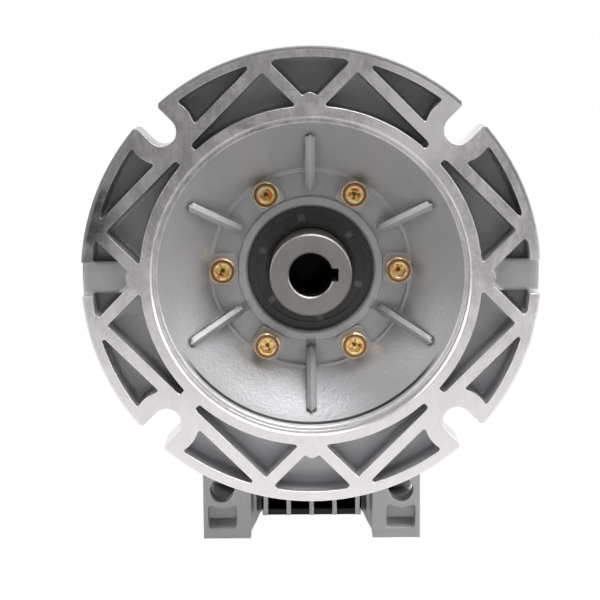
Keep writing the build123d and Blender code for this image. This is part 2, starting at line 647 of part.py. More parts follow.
def input_seal():
    """Oil seal round the worm shaft, with moulded notches in its front face."""
    seal = oil_seal(FRONT_BORE, INPUT_SEAL_OUTSIDE, INPUT_SEAL_WIDTH)
    notch_r = (INPUT_SEAL_OUTSIDE + FRONT_BORE) / 4 - 0.6
    for k in range(SEAL_NOTCHES):
        seal -= Rot(360 / SEAL_NOTCHES * k + 10, 0, 0) * Pos(0.5, 0, notch_r) * Box(1.2, 2.6, 2.4)
    return ON_WORM * Pos(FLANGE_FACE_Y + INPUT_SEAL_DEPTH, 0, 0) * seal


def underside_profile():
    """Cross-section of the base between the end faces: two foot rails and the floor between them."""
    inner = SIDE_X - FOOT_WIDTH
    web_in = inner - WEB_THICKNESS
    right = [
        (0, UNDERSIDE_Z), (web_in - 0.8, UNDERSIDE_Z), (web_in, UNDERSIDE_Z + 0.8), (inner, 2), (inner, 0),
        (SIDE_X, 0), (SIDE_X, FOOT_THICKNESS), (inner, FOOT_THICKNESS),
        (inner, UNDERSIDE_Z + FLOOR_THICKNESS + 2), (web_in, UNDERSIDE_Z + FLOOR_THICKNESS),
        (0, UNDERSIDE_Z + FLOOR_THICKNESS),
    ]
    left = [(-x, z) for x, z in reversed(right[1:-1])]
    return Plane.XZ * make_face(Polyline(*right, *left, close=True))


def end_plate(hole_d):
    """One upright end plate above a foot at +X, from station 0 into the housing along +Y."""
    plate = Rectangle(FOOT_WIDTH, END_PLATE_HEIGHT, align=(Align.MAX, Align.MIN))
    plate = fillet(plate.vertices().group_by(Axis.X)[-1].sort_by(Axis.Y)[-1], 6)
    bolt = Pos(-FOOT_HOLE_INSET, END_HOLE_Z)
    plate -= bolt * Circle(hole_d / 2)
    body = extrude(Plane.XZ * plate, -END_PLATE)
    height = END_POCKET_TOP - END_POCKET_BOTTOM
    middle = Pos(-FOOT_HOLE_INSET, END_POCKET_BOTTOM + height / 2)
    window = middle * RectangleRounded(END_POCKET_WIDTH, height, 1.4)
    window -= bolt * Circle(hole_d / 2 + END_POCKET_RIM)
    body -= extrude(Plane.XZ * window, -END_POCKET_DEPTH)
    return Pos(SIDE_X, 0, 0) * body


def side_web():
    """Outline in the YZ plane of the wall that ties the end plates of one side to the drum."""
    shoulder = END_Y - 12
    top = OUTPUT_Z - 6
    return Plane.YZ * make_face(
        Polyline(
            (-END_Y, UNDERSIDE_Z), (-END_Y, END_PLATE_HEIGHT), (-shoulder, top), (shoulder, top),
            (END_Y, END_PLATE_HEIGHT), (END_Y, UNDERSIDE_Z), close=True,
        )
    )


def housing():
    """Cast housing: drum, worm tube, saddle, feet and fins, with all seats and holes cut."""
    side_edge = 1.5
    drum = ON_OUTPUT * turned(
        (-SIDE_X - OUTPUT_PILOT_HEIGHT, 0), (-SIDE_X - OUTPUT_PILOT_HEIGHT, OUTPUT_PILOT_R - 0.5),
        (-SIDE_X - OUTPUT_PILOT_HEIGHT + 0.5, OUTPUT_PILOT_R), (-SIDE_X, OUTPUT_PILOT_R),
        (-SIDE_X, HUB_R - side_edge), (-SIDE_X + side_edge, HUB_R), (-SIDE_X + HUB_RIM, HUB_R),
        (-SIDE_X + HUB_RIM + HUB_BLEND, DRUM_R),
        (COVER_SEAT_X - COVER_RIM - 3, DRUM_R), (COVER_SEAT_X - COVER_RIM, COVER_R),
        (COVER_SEAT_X, COVER_R), (COVER_SEAT_X, 0),
    )
    tube = ON_WORM * turned(
        (-WORM_FRONT, 0), (-WORM_FRONT, PAD_R), (-WORM_FRONT + PAD_LENGTH, PAD_R),
        (-WORM_FRONT + PAD_LENGTH + 5, TUBE_R), (END_Y - side_edge, TUBE_R), (END_Y, TUBE_R - side_edge), (END_Y, 0),
    )
    tube -= block((-PAD_R - 1, PAD_R + 1), (-WORM_FRONT - 1, 0), (WORM_Z + TUBE_R, WORM_Z + PAD_R + 1))
    saddle = block((-SADDLE_WIDTH / 2, SADDLE_WIDTH / 2), (8 - DRUM_R, DRUM_R - 8), (OUTPUT_Z, WORM_Z))
    base = extrude(Pos(0, END_Y, 0) * underside_profile(), HOUSING_LENGTH)
    fin_end = END_Y - FIN_SETBACK
    fin = block((-FIN_WIDTH / 2, FIN_WIDTH / 2), (-fin_end, fin_end), (UNDERSIDE_Z + 1, WORM_Z - TUNNEL_R))
    fins = [Pos(FIN_PITCH * (k - (FIN_COUNT - 1) / 2), 0, 0) * fin for k in range(FIN_COUNT)]
    web = Pos(SIDE_X - FOOT_WIDTH - WEB_THICKNESS, 0, 0) * extrude(side_web(), WEB_THICKNESS)
    front_plate = Pos(0, -END_Y, 0) * end_plate(FRONT_END_HOLE_D)
    rear_plate = mirror(Pos(0, -END_Y, 0) * end_plate(REAR_END_HOLE_D), Plane.XZ)
    right = [web, front_plate, rear_plate]
    left = [mirror(piece, Plane.YZ) for piece in right]
    fill_top = WORM_Z + TUBE_R + FILL_BOSS_HEIGHT
    bosses = [
        Pos(0, FILL_PLUG_Y, fill_top) * hole(2 * PLUG_BOSS_R, PLUG_BOSS_DEPTH),
        Pos(0, END_Y, DRAIN_PLUG_Z) * Rot(-90, 0, 0) * hole(2 * PLUG_BOSS_R, PLUG_BOSS_DEPTH),
    ]
    body = drum + [tube, saddle, base, *fins, *right, *left, *bosses]
    cuts = [
        ON_OUTPUT * ring(-CHAMBER_END, COVER_SEAT_X, CHAMBER_R),
        ON_OUTPUT * ring(-OUTPUT_BEARING_END, -CHAMBER_END, OUTPUT_OUTSIDE / 2),
        ON_OUTPUT * ring(-SIDE_X - OUTPUT_PILOT_HEIGHT, -OUTPUT_BEARING_END, OUTPUT_SEAL_OUTSIDE / 2),
        ON_OUTPUT * ring(COVER_SEAT_X, COVER_SEAT_X + 20, COVER_R + 1),
        block((0, SIDE_X - FOOT_WIDTH - WEB_THICKNESS + 1), (-COVER_R / 2, COVER_R / 2), (0, UNDERSIDE_Z)),
        ON_WORM * ring(-WORM_FRONT, FRONT_SHOULDER_Y, FRONT_OUTSIDE / 2),
        ON_WORM * ring(FRONT_SHOULDER_Y, REAR_SHOULDER_Y, TUNNEL_R),
        ON_WORM * ring(REAR_SHOULDER_Y, END_Y, REAR_OUTSIDE / 2),
        ON_WORM * ring(REAR_BEARING_END_Y, REAR_BEARING_END_Y + BORE_CLIP_WIDTH, REAR_OUTSIDE / 2 + CLIP_DEPTH),
        Pos(0, FILL_PLUG_Y, fill_top) * hole(PLUG_D, fill_top - WORM_Z),
        Pos(0, END_Y, DRAIN_PLUG_Z) * Rot(-90, 0, 0) * hole(PLUG_D, END_Y - PLUG_BOSS_DEPTH),
    ]
    for spot in round_flange(FLANGE_SCREWS, FLANGE_SCREW_CIRCLE / 2, FLANGE_DEPTH + GASKET):
        cuts.append(spot * hole(FLANGE_SCREW_D, TAP_DEPTH_FLANGE))
    for spot in round_output(COVER_SCREWS, COVER_SCREW_CIRCLE / 2, COVER_SEAT_X, 90):
        cuts.append(spot * hole(COVER_SCREW_D, TAP_DEPTH_COVER))
    for spot in round_output(OUTPUT_BOLTS, OUTPUT_BOLT_CIRCLE / 2, -SIDE_X, 45):
        cuts.append(spot * Rot(180, 0, 0) * hole(OUTPUT_TAP_D, OUTPUT_TAP_DEPTH))
    for x in (-FOOT_HOLE_X, FOOT_HOLE_X):
        for y in (-FOOT_SPACING_Y / 2, FOOT_SPACING_Y / 2):
            cuts.append(Pos(x, y, FOOT_THICKNESS) * hole(FOOT_HOLE_D, FOOT_THICKNESS))
    return body - cuts


def output_cover():
    """Side cover about the output axis, with bearing seat, seal bore, spigot and O-ring groove."""
    spigot_r = CHAMBER_R - SPIGOT_FIT
    spigot_end = BEARING_INSET + CHAMBER_LIP
    bearing_r = OUTPUT_OUTSIDE / 2
    seal_r = OUTPUT_SEAL_OUTSIDE / 2
    pilot_end = SIDE_X + OUTPUT_PILOT_HEIGHT
    groove = COVER_SEAT_X - O_RING_SETBACK
    groove_r = spigot_r - 0.8 * O_RING_D
    body = turned(
        (spigot_end, bearing_r), (spigot_end, spigot_r - 1), (spigot_end + 1, spigot_r),
        (groove - 0.6 * O_RING_D, spigot_r), (groove - 0.6 * O_RING_D, groove_r),
        (groove + 0.6 * O_RING_D, groove_r), (groove + 0.6 * O_RING_D, spigot_r), (COVER_SEAT_X, spigot_r),
        (COVER_SEAT_X, COVER_R), (SIDE_X - 1.5, COVER_R), (SIDE_X, COVER_R - 1.5), (SIDE_X, OUTPUT_PILOT_R),
        (pilot_end - 0.5, OUTPUT_PILOT_R), (pilot_end, OUTPUT_PILOT_R - 0.5), (pilot_end, seal_r),
        (OUTPUT_BEARING_END, seal_r), (OUTPUT_BEARING_END, bearing_r),
    )
    body = ON_OUTPUT * body
    cuts = []
    for spot in round_output(COVER_SCREWS, COVER_SCREW_CIRCLE / 2, SIDE_X, 90):
        cuts.append(spot * hole(COVER_SCREW_D + 2 * SCREW_CLEARANCE, COVER_THICKNESS))
        cuts.append(spot * hole(COVER_SCREW_HEAD_D + 2 * SCREW_CLEARANCE, COVER_SCREW_HEAD_H + 0.5))
    for spot in round_output(OUTPUT_BOLTS, OUTPUT_BOLT_CIRCLE / 2, SIDE_X, 45):
        cuts.append(spot * hole(OUTPUT_TAP_D, OUTPUT_TAP_DEPTH))
    return body - cuts


def output_seals():
    """The two oil seals round the hollow output shaft, with their fronts outward."""
    seal = oil_seal(OUTPUT_BORE, OUTPUT_SEAL_OUTSIDE, OUTPUT_SEAL_WIDTH)
    left = ON_OUTPUT * Pos(-SIDE_X + OUTPUT_SEAL_INSET, 0, 0) * seal
    return {"output_seal_left": left, "output_seal_right": mirror(left, Plane.YZ)}


def rear_cap():
    """Pressed cap that closes the housing behind the worm."""
    outer = REAR_OUTSIDE / 2 - SEAT_FIT
    back = END_Y - 0.5
    return ON_WORM * turned(
        (back - CAP_WIDTH, outer - 0.6), (back - CAP_WIDTH + 0.8, outer), (back - 0.8, outer), (back, outer - 0.8),
        (back, 0), (back - 2, 0), (back - 2, outer - 3), (back - CAP_WIDTH, outer - 3),
    )


def cover_o_ring():
    """O-ring in the groove of the output cover's spigot."""
    groove = COVER_SEAT_X - O_RING_SETBACK
    section = 0.48 * 0.8 * O_RING_D
    middle = CHAMBER_R - SPIGOT_FIT - 0.4 * O_RING_D
    return ON_OUTPUT * Pos(groove, 0, 0) * Rot(0, 90, 0) * Torus(middle, section)


def bearing_nodes():
    """All four bearings on their seats."""
    front = (FRONT_BORE, FRONT_OUTSIDE, FRONT_WIDTH, FRONT_BALL, FRONT_BALLS)
    rear = (REAR_BORE, REAR_OUTSIDE, REAR_WIDTH, REAR_BALL, REAR_BALLS)
    output = (OUTPUT_BORE, OUTPUT_OUTSIDE, OUTPUT_WIDTH, OUTPUT_BALL, OUTPUT_BALLS)
    seats = (
        ("front_bearing", ON_WORM * Pos(FRONT_BEARING_Y, 0, 0), front),
        ("rear_bearing", ON_WORM * Pos(REAR_SHOULDER_Y, 0, 0), rear),
        ("left_bearing", ON_OUTPUT * Pos(-OUTPUT_BEARING_END, 0, 0), output),
        ("right_bearing", ON_OUTPUT * Pos(BEARING_INSET, 0, 0), output),
    )
    found = {}
    for name, place, sizes in seats:
        found.update(deep_groove_bearing(name, place, *sizes))
    return found


flange_screw = cap_screw(
    FLANGE_SCREW_D, FLANGE_SCREW_HEAD_D, FLANGE_SCREW_HEAD_H, FLANGE_SCREW_HEX,
    FLANGE_DEPTH + GASKET - HUB_FACE_DEPTH + FLANGE_SCREW_GRIP,
)
cover_screw = cap_screw(
    COVER_SCREW_D, COVER_SCREW_HEAD_D, COVER_SCREW_HEAD_H, COVER_SCREW_HEX,
    COVER_THICKNESS - COVER_SCREW_HEAD_H - 0.5 + COVER_SCREW_GRIP,
)
pin = hole(PIN_D - 2 * SEAT_FIT, PIN_LENGTH)
pin_holes = [spot * hole(PIN_D, PIN_LENGTH) for spot in wheel_pin_spots()]
plug_washer = Pos(0, 0, WASHER / 2) * (Cylinder(PLUG_HEAD_D / 2, WASHER) - Cylinder(PLUG_D / 2, WASHER))
fill_seat = Pos(0, FILL_PLUG_Y, WORM_Z + TUBE_R + FILL_BOSS_HEIGHT)
drain_seat = Pos(0, END_Y, DRAIN_PLUG_Z) * Rot(-90, 0, 0)
front_clip = circlip(FRONT_BORE / 2 - CLIP_DEPTH + SEAT_FIT, FRONT_BORE / 2 + 1.6, CLIP_WIDTH, True)
rear_clip = circlip(REAR_BORE / 2 - CLIP_DEPTH + SEAT_FIT, REAR_BORE / 2 + 1.6, CLIP_WIDTH, True)
bore_clip = circlip(REAR_OUTSIDE / 2 - 2.2, REAR_OUTSIDE / 2 + CLIP_DEPTH - SEAT_FIT, BORE_CLIP_WIDTH, False)
across_worm = Pos(0, 0, WORM_Z) * Rot(-90, 0, 0)

nodes = {
    "housing": housing(),
    "motor_flange": ON_FLANGE * motor_flange(),
    "flange_gasket": ON_FLANGE * flange_gasket(),
    "flange_screws": group(
        spot * flange_screw for spot in round_flange(FLANGE_SCREWS, FLANGE_SCREW_CIRCLE / 2, HUB_FACE_DEPTH)
    ),
    "input_seal": input_seal(),
    "output_cover": output_cover(),
    "cover_screws": group(
        spot * cover_screw
        for spot in round_output(
            COVER_SCREWS, COVER_SCREW_CIRCLE / 2, SIDE_X - COVER_SCREW_HEAD_H - 0.5, 90
        )
    ),
    "cover_o_ring": cover_o_ring(),
    "rear_cap": rear_cap(),
    "rear_bore_circlip": across_worm * Pos(0, 0, REAR_BEARING_END_Y) * bore_clip,
    "fill_plug": fill_seat * Pos(0, 0, WASHER) * sealing_plug(),
    "fill_plug_washer": fill_seat * plug_washer,
    "drain_plug": drain_seat * Pos(0, 0, WASHER) * sealing_plug(),
    "drain_plug_washer": drain_seat * plug_washer,
    "worm_shaft": worm_shaft(),
    "worm_front_circlip": across_worm * Pos(0, 0, FRONT_BEARING_Y - CLIP_WIDTH) * front_clip,
    "worm_rear_circlip": across_worm * Pos(0, 0, REAR_BEARING_END_Y) * rear_clip,
    "output_shaft": ON_OUTPUT * (output_shaft() - pin_holes),
    "worm_wheel_rim": ON_OUTPUT * (wheel_rim() - pin_holes),
    "wheel_pins": group(ON_OUTPUT * spot * pin for spot in wheel_pin_spots()),
}
nodes.update(output_seals())
nodes.update(bearing_nodes())

for name, shape in nodes.items():
    export_step(shape, f"parts/{name}.step")
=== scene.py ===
# %% [markdown]
# A worm gear reducer, dressed for the studio
#
# The object is a small right-angle gear reducer: a cast housing, a large motor flange in front
# with a cast bell, a hollow worm shaft, and a hollow output shaft across it. Every solid comes
# from the CAD frame, already in place and in metres. What is left to Blender is mostly what a
# metal worker would call the finish: paint on castings, turned faces, ground steel, plated screws.

# %% Load the frame
import json
import math

import bmesh
import bpy
import numpy as np
from mathutils import Matrix, Vector

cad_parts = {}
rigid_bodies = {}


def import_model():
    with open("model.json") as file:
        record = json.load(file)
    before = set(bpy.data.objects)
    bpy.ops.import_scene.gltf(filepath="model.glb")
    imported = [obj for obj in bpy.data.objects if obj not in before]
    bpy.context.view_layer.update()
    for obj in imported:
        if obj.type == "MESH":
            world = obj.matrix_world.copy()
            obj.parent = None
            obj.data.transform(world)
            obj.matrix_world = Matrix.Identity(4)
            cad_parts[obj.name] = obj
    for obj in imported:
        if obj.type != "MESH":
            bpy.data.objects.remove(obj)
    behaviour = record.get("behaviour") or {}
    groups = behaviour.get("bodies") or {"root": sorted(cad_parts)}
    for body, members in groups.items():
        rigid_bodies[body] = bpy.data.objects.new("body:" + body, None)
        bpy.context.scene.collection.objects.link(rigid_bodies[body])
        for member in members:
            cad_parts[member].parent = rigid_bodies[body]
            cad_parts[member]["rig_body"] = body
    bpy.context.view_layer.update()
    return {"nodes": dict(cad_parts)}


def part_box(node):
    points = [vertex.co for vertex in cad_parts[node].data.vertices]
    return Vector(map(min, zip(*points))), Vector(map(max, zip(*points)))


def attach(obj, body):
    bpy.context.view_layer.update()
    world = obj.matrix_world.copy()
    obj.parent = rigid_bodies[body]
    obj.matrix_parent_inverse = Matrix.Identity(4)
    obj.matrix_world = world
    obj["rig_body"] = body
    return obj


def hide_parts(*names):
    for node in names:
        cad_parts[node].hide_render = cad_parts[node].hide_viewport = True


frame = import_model()
nodes = frame["nodes"]

# %% [markdown]
# Places on the reducer
#
# Finishes follow the machining, and the machining follows the two axes. The worm axis runs along
# Y and carries the flange, the seal and the screws. The output axis runs along X below it. Their
# heights could be typed in, but they are read from the frame, so the finishes stay on their
# surfaces when the CAD changes.

# %% Places in millimetres
MM = 1000.0
QUARTER, SIXTH = math.pi / 2, math.pi / 3


def box_mm(node):
    """Lowest and highest corner of a CAD node, in millimetres."""
    low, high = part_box(node)
    return np.array(low) * MM, np.array(high) * MM


flange_low, flange_high = box_mm("motor_flange")
cover_low, cover_high = box_mm("output_cover")
FACE_Y = flange_low[1]
WORM_Z = (flange_low[2] + flange_high[2]) / 2
OUTPUT_Z = (cover_low[2] + cover_high[2]) / 2
END_Y = box_mm("housing")[1][1]
print("flange face y", round(FACE_Y, 2), "worm z", round(WORM_Z, 2))
print("output z", round(OUTPUT_Z, 2), "housing end y", round(END_Y, 2))

# %% [markdown]
# Corners of the feet
#
# The photograph shows three small forms at the ends of the feet that the CAD leaves out: the
# pockets under the end holes go down to a sloping floor, the webs beside the feet stand back, and
# the floor under the fins starts behind their front edges. They could be painted dark, but that
# would look flat from the side. So each is a solid cut out of a copy of the housing, built from
# two outlines with the same number of points: P(i, 0) = near(i) and P(i, 1) = far(i). The rear
# end is the front end turned round.

# %% Sizes of the cuts in millimetres
OUTSIDE = 1.0
POCKET_FLOORS, POCKET_BACK = (3.05, 6.95), 4.95
WEB_TOP = 31.0
WEB_PLAN = [
    (23.85, -60.6), (23.85, -57.4), (22.7, -56.4), (21.7, -56.4), (20.7, -54.2), (19.3, -53.6),
    (19.3, -60.6),
]
FLOOR_LOW, FLOOR_HIGH, FLOOR_HALF = 7.5, 12.6, 19.2
FLOOR_OUTSIDE, FLOOR_BACK, GAP_BACK = 0.6, 1.05, 1.7
FIN_PITCH, FIN_HALF, FIN_SPARE, FIN_GAPS = 9.0, 0.85, 0.02, 4


# %% Outlines and the solid between two of them
def add_cutter(mesh, near, far):
    """Adds the closed solid between two outlines of (x, y, z) points in millimetres."""
    points = [mesh.verts.new(p) for p in np.vstack([near, far]) / MM]
    count = len(near)
    faces = [points[:count], points[count:]]
    for k in range(count):
        after = (k + 1) % count
        faces.append([points[k], points[after], points[count + after], points[count + k]])
    for face in faces:
        mesh.faces.new(face)


def pocket_outline(y, floor, x_in=29.35, x_out=40.65, top=9.0, corner=1.4, steps=6):
    """Outline of a foot pocket in the plane y: two quarter circles of radius corner below."""
    turn = np.linspace(0, QUARTER, steps)
    sine, cosine = corner * np.sin(turn), corner * np.cos(turn)
    right = np.stack([x_out - corner + sine, floor + corner - cosine], axis=-1)
    left = np.stack([x_in + corner - cosine, floor + corner - sine], axis=-1)
    flat = np.vstack([left, right, [[x_out, top], [x_in, top]]])
    return np.stack([flat[:, 0], np.full(len(flat), y), flat[:, 1]], axis=-1)


def plan_outline(points, z):
    """Outline in the plane z from (x, y) points."""
    return np.array([(x, y, z) for x, y in points])


def floor_outline(x, half, y):
    """Rectangle in the plane y, as high as the floor under the fins and 2 * half wide."""
    low, high = (x - half, y, FLOOR_LOW), (x + half, y, FLOOR_HIGH)
    return np.array([low, (high[0], y, low[2]), high, (low[0], y, high[2])])


# %% The cutters at both ends
def add_floor_cut(mesh, x, half, back, turn):
    """Adds a box that takes the floor under the fins away, down to back behind the end."""
    near = floor_outline(x, half, -END_Y - FLOOR_OUTSIDE)
    add_cutter(mesh, near * turn, floor_outline(x, half, -END_Y + back) * turn)


def cutter_groups():
    """Three groups of cutters; the solids inside one group don't touch each other."""
    ends, strip, gaps = bmesh.new(), bmesh.new(), bmesh.new()
    pocket_near = pocket_outline(-END_Y - OUTSIDE, POCKET_FLOORS[0])
    pocket_far = pocket_outline(-END_Y + POCKET_BACK, POCKET_FLOORS[1])
    web_near, web_far = plan_outline(WEB_PLAN, -OUTSIDE), plan_outline(WEB_PLAN, WEB_TOP)
    gap_half = FIN_PITCH / 2 - FIN_HALF - FIN_SPARE
    for end in (1.0, -1.0):
        for side in (-1.0, 1.0):
            turn = np.array([side, end, 1.0])
            add_cutter(ends, pocket_near * turn, pocket_far * turn)
            add_cutter(ends, web_near * turn, web_far * turn)
        turn = np.array([1.0, end, 1.0])
        add_floor_cut(strip, 0.0, FLOOR_HALF, FLOOR_BACK, turn)
        for k in range(FIN_GAPS):
            x = FIN_PITCH * (k - (FIN_GAPS - 1) / 2)
            add_floor_cut(gaps, x, gap_half, GAP_BACK, turn)
    return ends, strip, gaps


# %% [markdown]
# The housing's mesh from the CAD is loose triangles, so its copy is welded first. Boolean
# modifiers with the exact solver then take out one group after the other, and what they leave
# is kept as a plain mesh. The copy stands in for the CAD's housing in the picture alone.

# %% A carved copy of the housing
WELD = 1e-6
SMOOTH_UNDER = math.radians(28.0)


def add_object(name, data):
    """Adds an object with this data to the scene."""
    made = bpy.data.objects.new(name, data)
    bpy.context.scene.collection.objects.link(made)
    return made


def show_instead(node, mesh):
    """Shows a mesh in a CAD node's place, on the same body."""
    shown = add_object(node + "_shown", mesh)
    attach(shown, nodes[node]["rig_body"])
    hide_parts(node)
    return shown


def carved(node, groups):
    """Mesh of a CAD node with groups of cutters taken out of it one after the other."""
    solid = bmesh.new()
    solid.from_mesh(nodes[node].data)
    bmesh.ops.remove_doubles(solid, verts=solid.verts, dist=WELD)
    mesh = bpy.data.meshes.new(node + "_carved")
    solid.to_mesh(mesh)
    mesh.attributes.remove(mesh.attributes["custom_normal"])
    work = add_object("work", mesh)
    tools = []
    for group in groups:
        bmesh.ops.recalc_face_normals(group, faces=group.faces)
        tool = add_object("tool", bpy.data.meshes.new("tool"))
        group.to_mesh(tool.data)
        cut = work.modifiers.new("cut", "BOOLEAN")
        cut.operation = "DIFFERENCE"
        cut.solver = "EXACT"
        cut.object = tool
        tools.append(tool)
    bpy.context.view_layer.update()
    finished = work.evaluated_get(bpy.context.evaluated_depsgraph_get())
    result = bpy.data.meshes.new_from_object(finished)
    for item in [work] + tools:
        bpy.data.objects.remove(item)
    result.polygons.foreach_set("use_smooth", np.ones(len(result.polygons), bool))
    result.set_sharp_from_angle(angle=SMOOTH_UNDER)
    result.materials.clear()
    return result


housing_shown = show_instead("housing", carved("housing", cutter_groups()))
print("carved housing:", len(housing_shown.data.polygons), "faces")

# %% [markdown]
# The seal's notches
#
# The seal's six notches sit 20 degrees further round in the photograph than in the CAD. Turning
# the object would move its origin's axes and the pattern with them, so the mesh of a copy is
# turned about the worm axis instead, p' = R (p - c) + c. Nothing else about it changes.

# %% A turned copy of the seal
NOTCH_TURN = math.radians(-20.0)

seal_mesh = nodes["input_seal"].data.copy()
centre = Matrix.Translation((0.0, 0.0, WORM_Z / MM))
seal_mesh.transform(centre @ Matrix.Rotation(NOTCH_TURN, 4, "Y") @ centre.inverted())
seal_shown = show_instead("input_seal", seal_mesh)
print("turned seal:", len(seal_mesh.polygons), "faces")

# %% [markdown]
# Shader maths in plain Python
#
# A finish is mostly arithmetic on positions: how far from an axis, how deep behind a face. In the
# node editor that is a web of Math nodes. A small class that wraps one socket and overloads the
# operators lets the same web be written as an expression. Numbers that don't touch a socket are
# worked out in Python and never become nodes.

# %% A socket that can be used in expressions
class Signal:
    """One output socket of a material's tree, with arithmetic that adds Math nodes."""

    def __init__(self, finish, socket):
        self.finish = finish
        self.socket = socket

    def math(self, operation, *others):
        """A Math node with this signal first."""
        return self.finish.node("ShaderNodeMath", {"operation": operation}, self, *others)[0]

    def math_after(self, operation, first):
        """A Math node with this signal second."""
        return self.finish.node("ShaderNodeMath", {"operation": operation}, first, self)[0]

    def __add__(self, other):
        return self.math("ADD", other)

    def __radd__(self, other):
        return self.math_after("ADD", other)

    def __sub__(self, other):
        return self.math("SUBTRACT", other)

    def __rsub__(self, other):
        return self.math_after("SUBTRACT", other)

    def __mul__(self, other):
        return self.math("MULTIPLY", other)

    def __rmul__(self, other):
        return self.math_after("MULTIPLY", other)

    def __truediv__(self, other):
        return self.math("DIVIDE", other)

    def __rtruediv__(self, other):
        return self.math_after("DIVIDE", other)

    def __mod__(self, other):
        return self.math("FLOORED_MODULO", other)

    def __neg__(self):
        return self.math("MULTIPLY", -1.0)

    def __abs__(self):
        return self.math("ABSOLUTE")

    def below(self, limit, soft):
        """1 where the signal is under the limit and 0 above it, with a soft step."""
        return self.finish.step(self, limit + soft, limit - soft)

    def above(self, limit, soft):
        """1 where the signal is over the limit and 0 below it, with a soft step."""
        return self.finish.step(self, limit - soft, limit + soft)

    def between(self, limits, soft):
        """1 between two limits and 0 outside them, with soft steps."""
        return self.above(limits[0], soft) * self.below(limits[1], soft)

    def clamp(self):
        """The signal held between 0 and 1."""
        return self.finish.node("ShaderNodeClamp", {}, self, 0.0, 1.0)[0]


class Outputs:
    """A node's outputs, by index among those in use, or by name."""

    def __init__(self, finish, made):
        self.finish = finish
        self.made = made

    def __getitem__(self, key):
        enabled = [s for s in self.made.outputs if s.enabled]
        if isinstance(key, int):
            return Signal(self.finish, enabled[key])
        return Signal(self.finish, next(s for s in enabled if s.name == key))


# %% [markdown]
# Nodes that aren't arithmetic, such as noise and ramps, all come from one method that takes the
# node's type, its settings and what feeds its inputs. Positions are Object coordinates, which
# every piece here shares with the CAD, so they are read once and turned into millimetres.

# %% A material's tree with one method for every node
BEVEL_SAMPLES = 6


class Finish:
    """A node material that is built by expressions."""

    def __init__(self, name):
        self.material = bpy.data.materials.new(name)
        self.material.use_nodes = True
        self.tree = self.material.node_tree
        self.shader = self.tree.nodes["Principled BSDF"]
        place = self.node("ShaderNodeTexCoord", {})
        self.place = place["Object"]
        parts = self.node("ShaderNodeSeparateXYZ", {}, self.place)
        self.x, self.y, self.z = (parts[k] * MM for k in range(3))

    def feed(self, socket, value):
        """Links a signal to a socket, or sets its number, vector or RGB colour."""
        if isinstance(value, Signal):
            self.tree.links.new(value.socket, socket)
        elif value is not None:
            socket.default_value = (*value, 1.0) if socket.type == "RGBA" else value

    def node(self, kind, settings, *values, **named):
        """Adds a node, sets its settings, and feeds its inputs in order or by name."""
        made = self.tree.nodes.new(kind)
        for key, value in settings.items():
            if key == "stops":
                self.fill_ramp(made.color_ramp, value)
            else:
                setattr(made, key, value)
        for socket, value in zip([s for s in made.inputs if s.enabled], values):
            self.feed(socket, value)
        for key, value in named.items():
            self.feed(made.inputs[key], value)
        return Outputs(self, made)

    @staticmethod
    def fill_ramp(ramp, stops):
        """Sets a colour ramp's stops from (position, RGB colour) pairs."""
        while len(ramp.elements) < len(stops):
            ramp.elements.new(0.5)
        for element, (position, rgb) in zip(ramp.elements, stops):
            element.position = position
            element.color = (*rgb, 1.0)

    def step(self, signal, start, end):
        """Smooth step of a signal, 0 at start and 1 at end."""
        smooth = {"interpolation_type": "SMOOTHSTEP", "clamp": True}
        return self.node("ShaderNodeMapRange", smooth, signal, start, end, 0.0, 1.0)[0]

    def noise(self, scale, detail=4.0, rough=0.55, stretch=(1.0, 1.0, 1.0), turn=0.0):
        """Fractal noise in object space, about 0.5, with scale in waves per metre."""
        turned = (0.0, turn, 0.0)
        at = self.node("ShaderNodeMapping", {}, self.place, Scale=stretch, Rotation=turned)[0]
        return self.fractal(at, scale, detail, rough)

    def fractal(self, at, scale, detail, rough):
        """Fractal noise about 0.5 at a vector."""
        sizes = {"Scale": scale, "Detail": detail, "Roughness": rough}
        return self.node("ShaderNodeTexNoise", {}, Vector=at, **sizes)["Fac"]

    def mix(self, factor, first, second, kind="RGBA"):
        """Mix of two colours, or of two vectors, by a factor."""
        return self.node("ShaderNodeMix", {"data_type": kind}, factor, first, second)["Result"]

    def lerp(self, factor, first, second):
        """Number between first and second by a factor."""
        return first + (second - first) * factor

    def bump(self, height, distance, strength, normal=None):
        """Surface normal bent by a height signal; distance in metres."""
        sizes = {"Strength": strength, "Distance": distance}
        return self.node("ShaderNodeBump", {}, Height=height, Normal=normal, **sizes)[0]

    def rounded(self, radius):
        """Normal that softens sharp edges by a radius in metres, as paint and tumbling do."""
        return self.node("ShaderNodeBevel", {"samples": BEVEL_SAMPLES}, Radius=radius)[0]

    def edges(self, soft, gain=3.0):
        """0 on flat ground, up to 1 on edges: how far a rounded normal leaves the real one."""
        real = self.node("ShaderNodeNewGeometry", {})["Normal"]
        dot = {"operation": "DOT_PRODUCT"}
        agree = self.node("ShaderNodeVectorMath", dot, soft, real)["Value"]
        return ((1.0 - agree) * gain).clamp()

    def set(self, **inputs):
        """Feeds or sets the shader's sockets by name, with _ for a space."""
        for key, value in inputs.items():
            self.feed(self.shader.inputs[key.replace("_", " ")], value)


def report(*finishes):
    """Prints how many shader nodes each finish took."""
    for finish in finishes:
        print(finish.material.name, "has", len(finish.tree.nodes), "shader nodes")


# %% [markdown]
# Polar places
#
# Almost every surface of a reducer is turned about one of its axes, so the distance from an axis
# and the angle round it are the coordinates that its machining marks follow. Screws, ribs, slots
# and notches come several times round an axis. One mask for each would be long, so the angle is
# folded into one sector, and one mask serves them all.

# %% Distance and angle about an axis
def distance(across, up):
    """Length of the vector (across, up)."""
    return (across * across + up * up).math("SQRT")


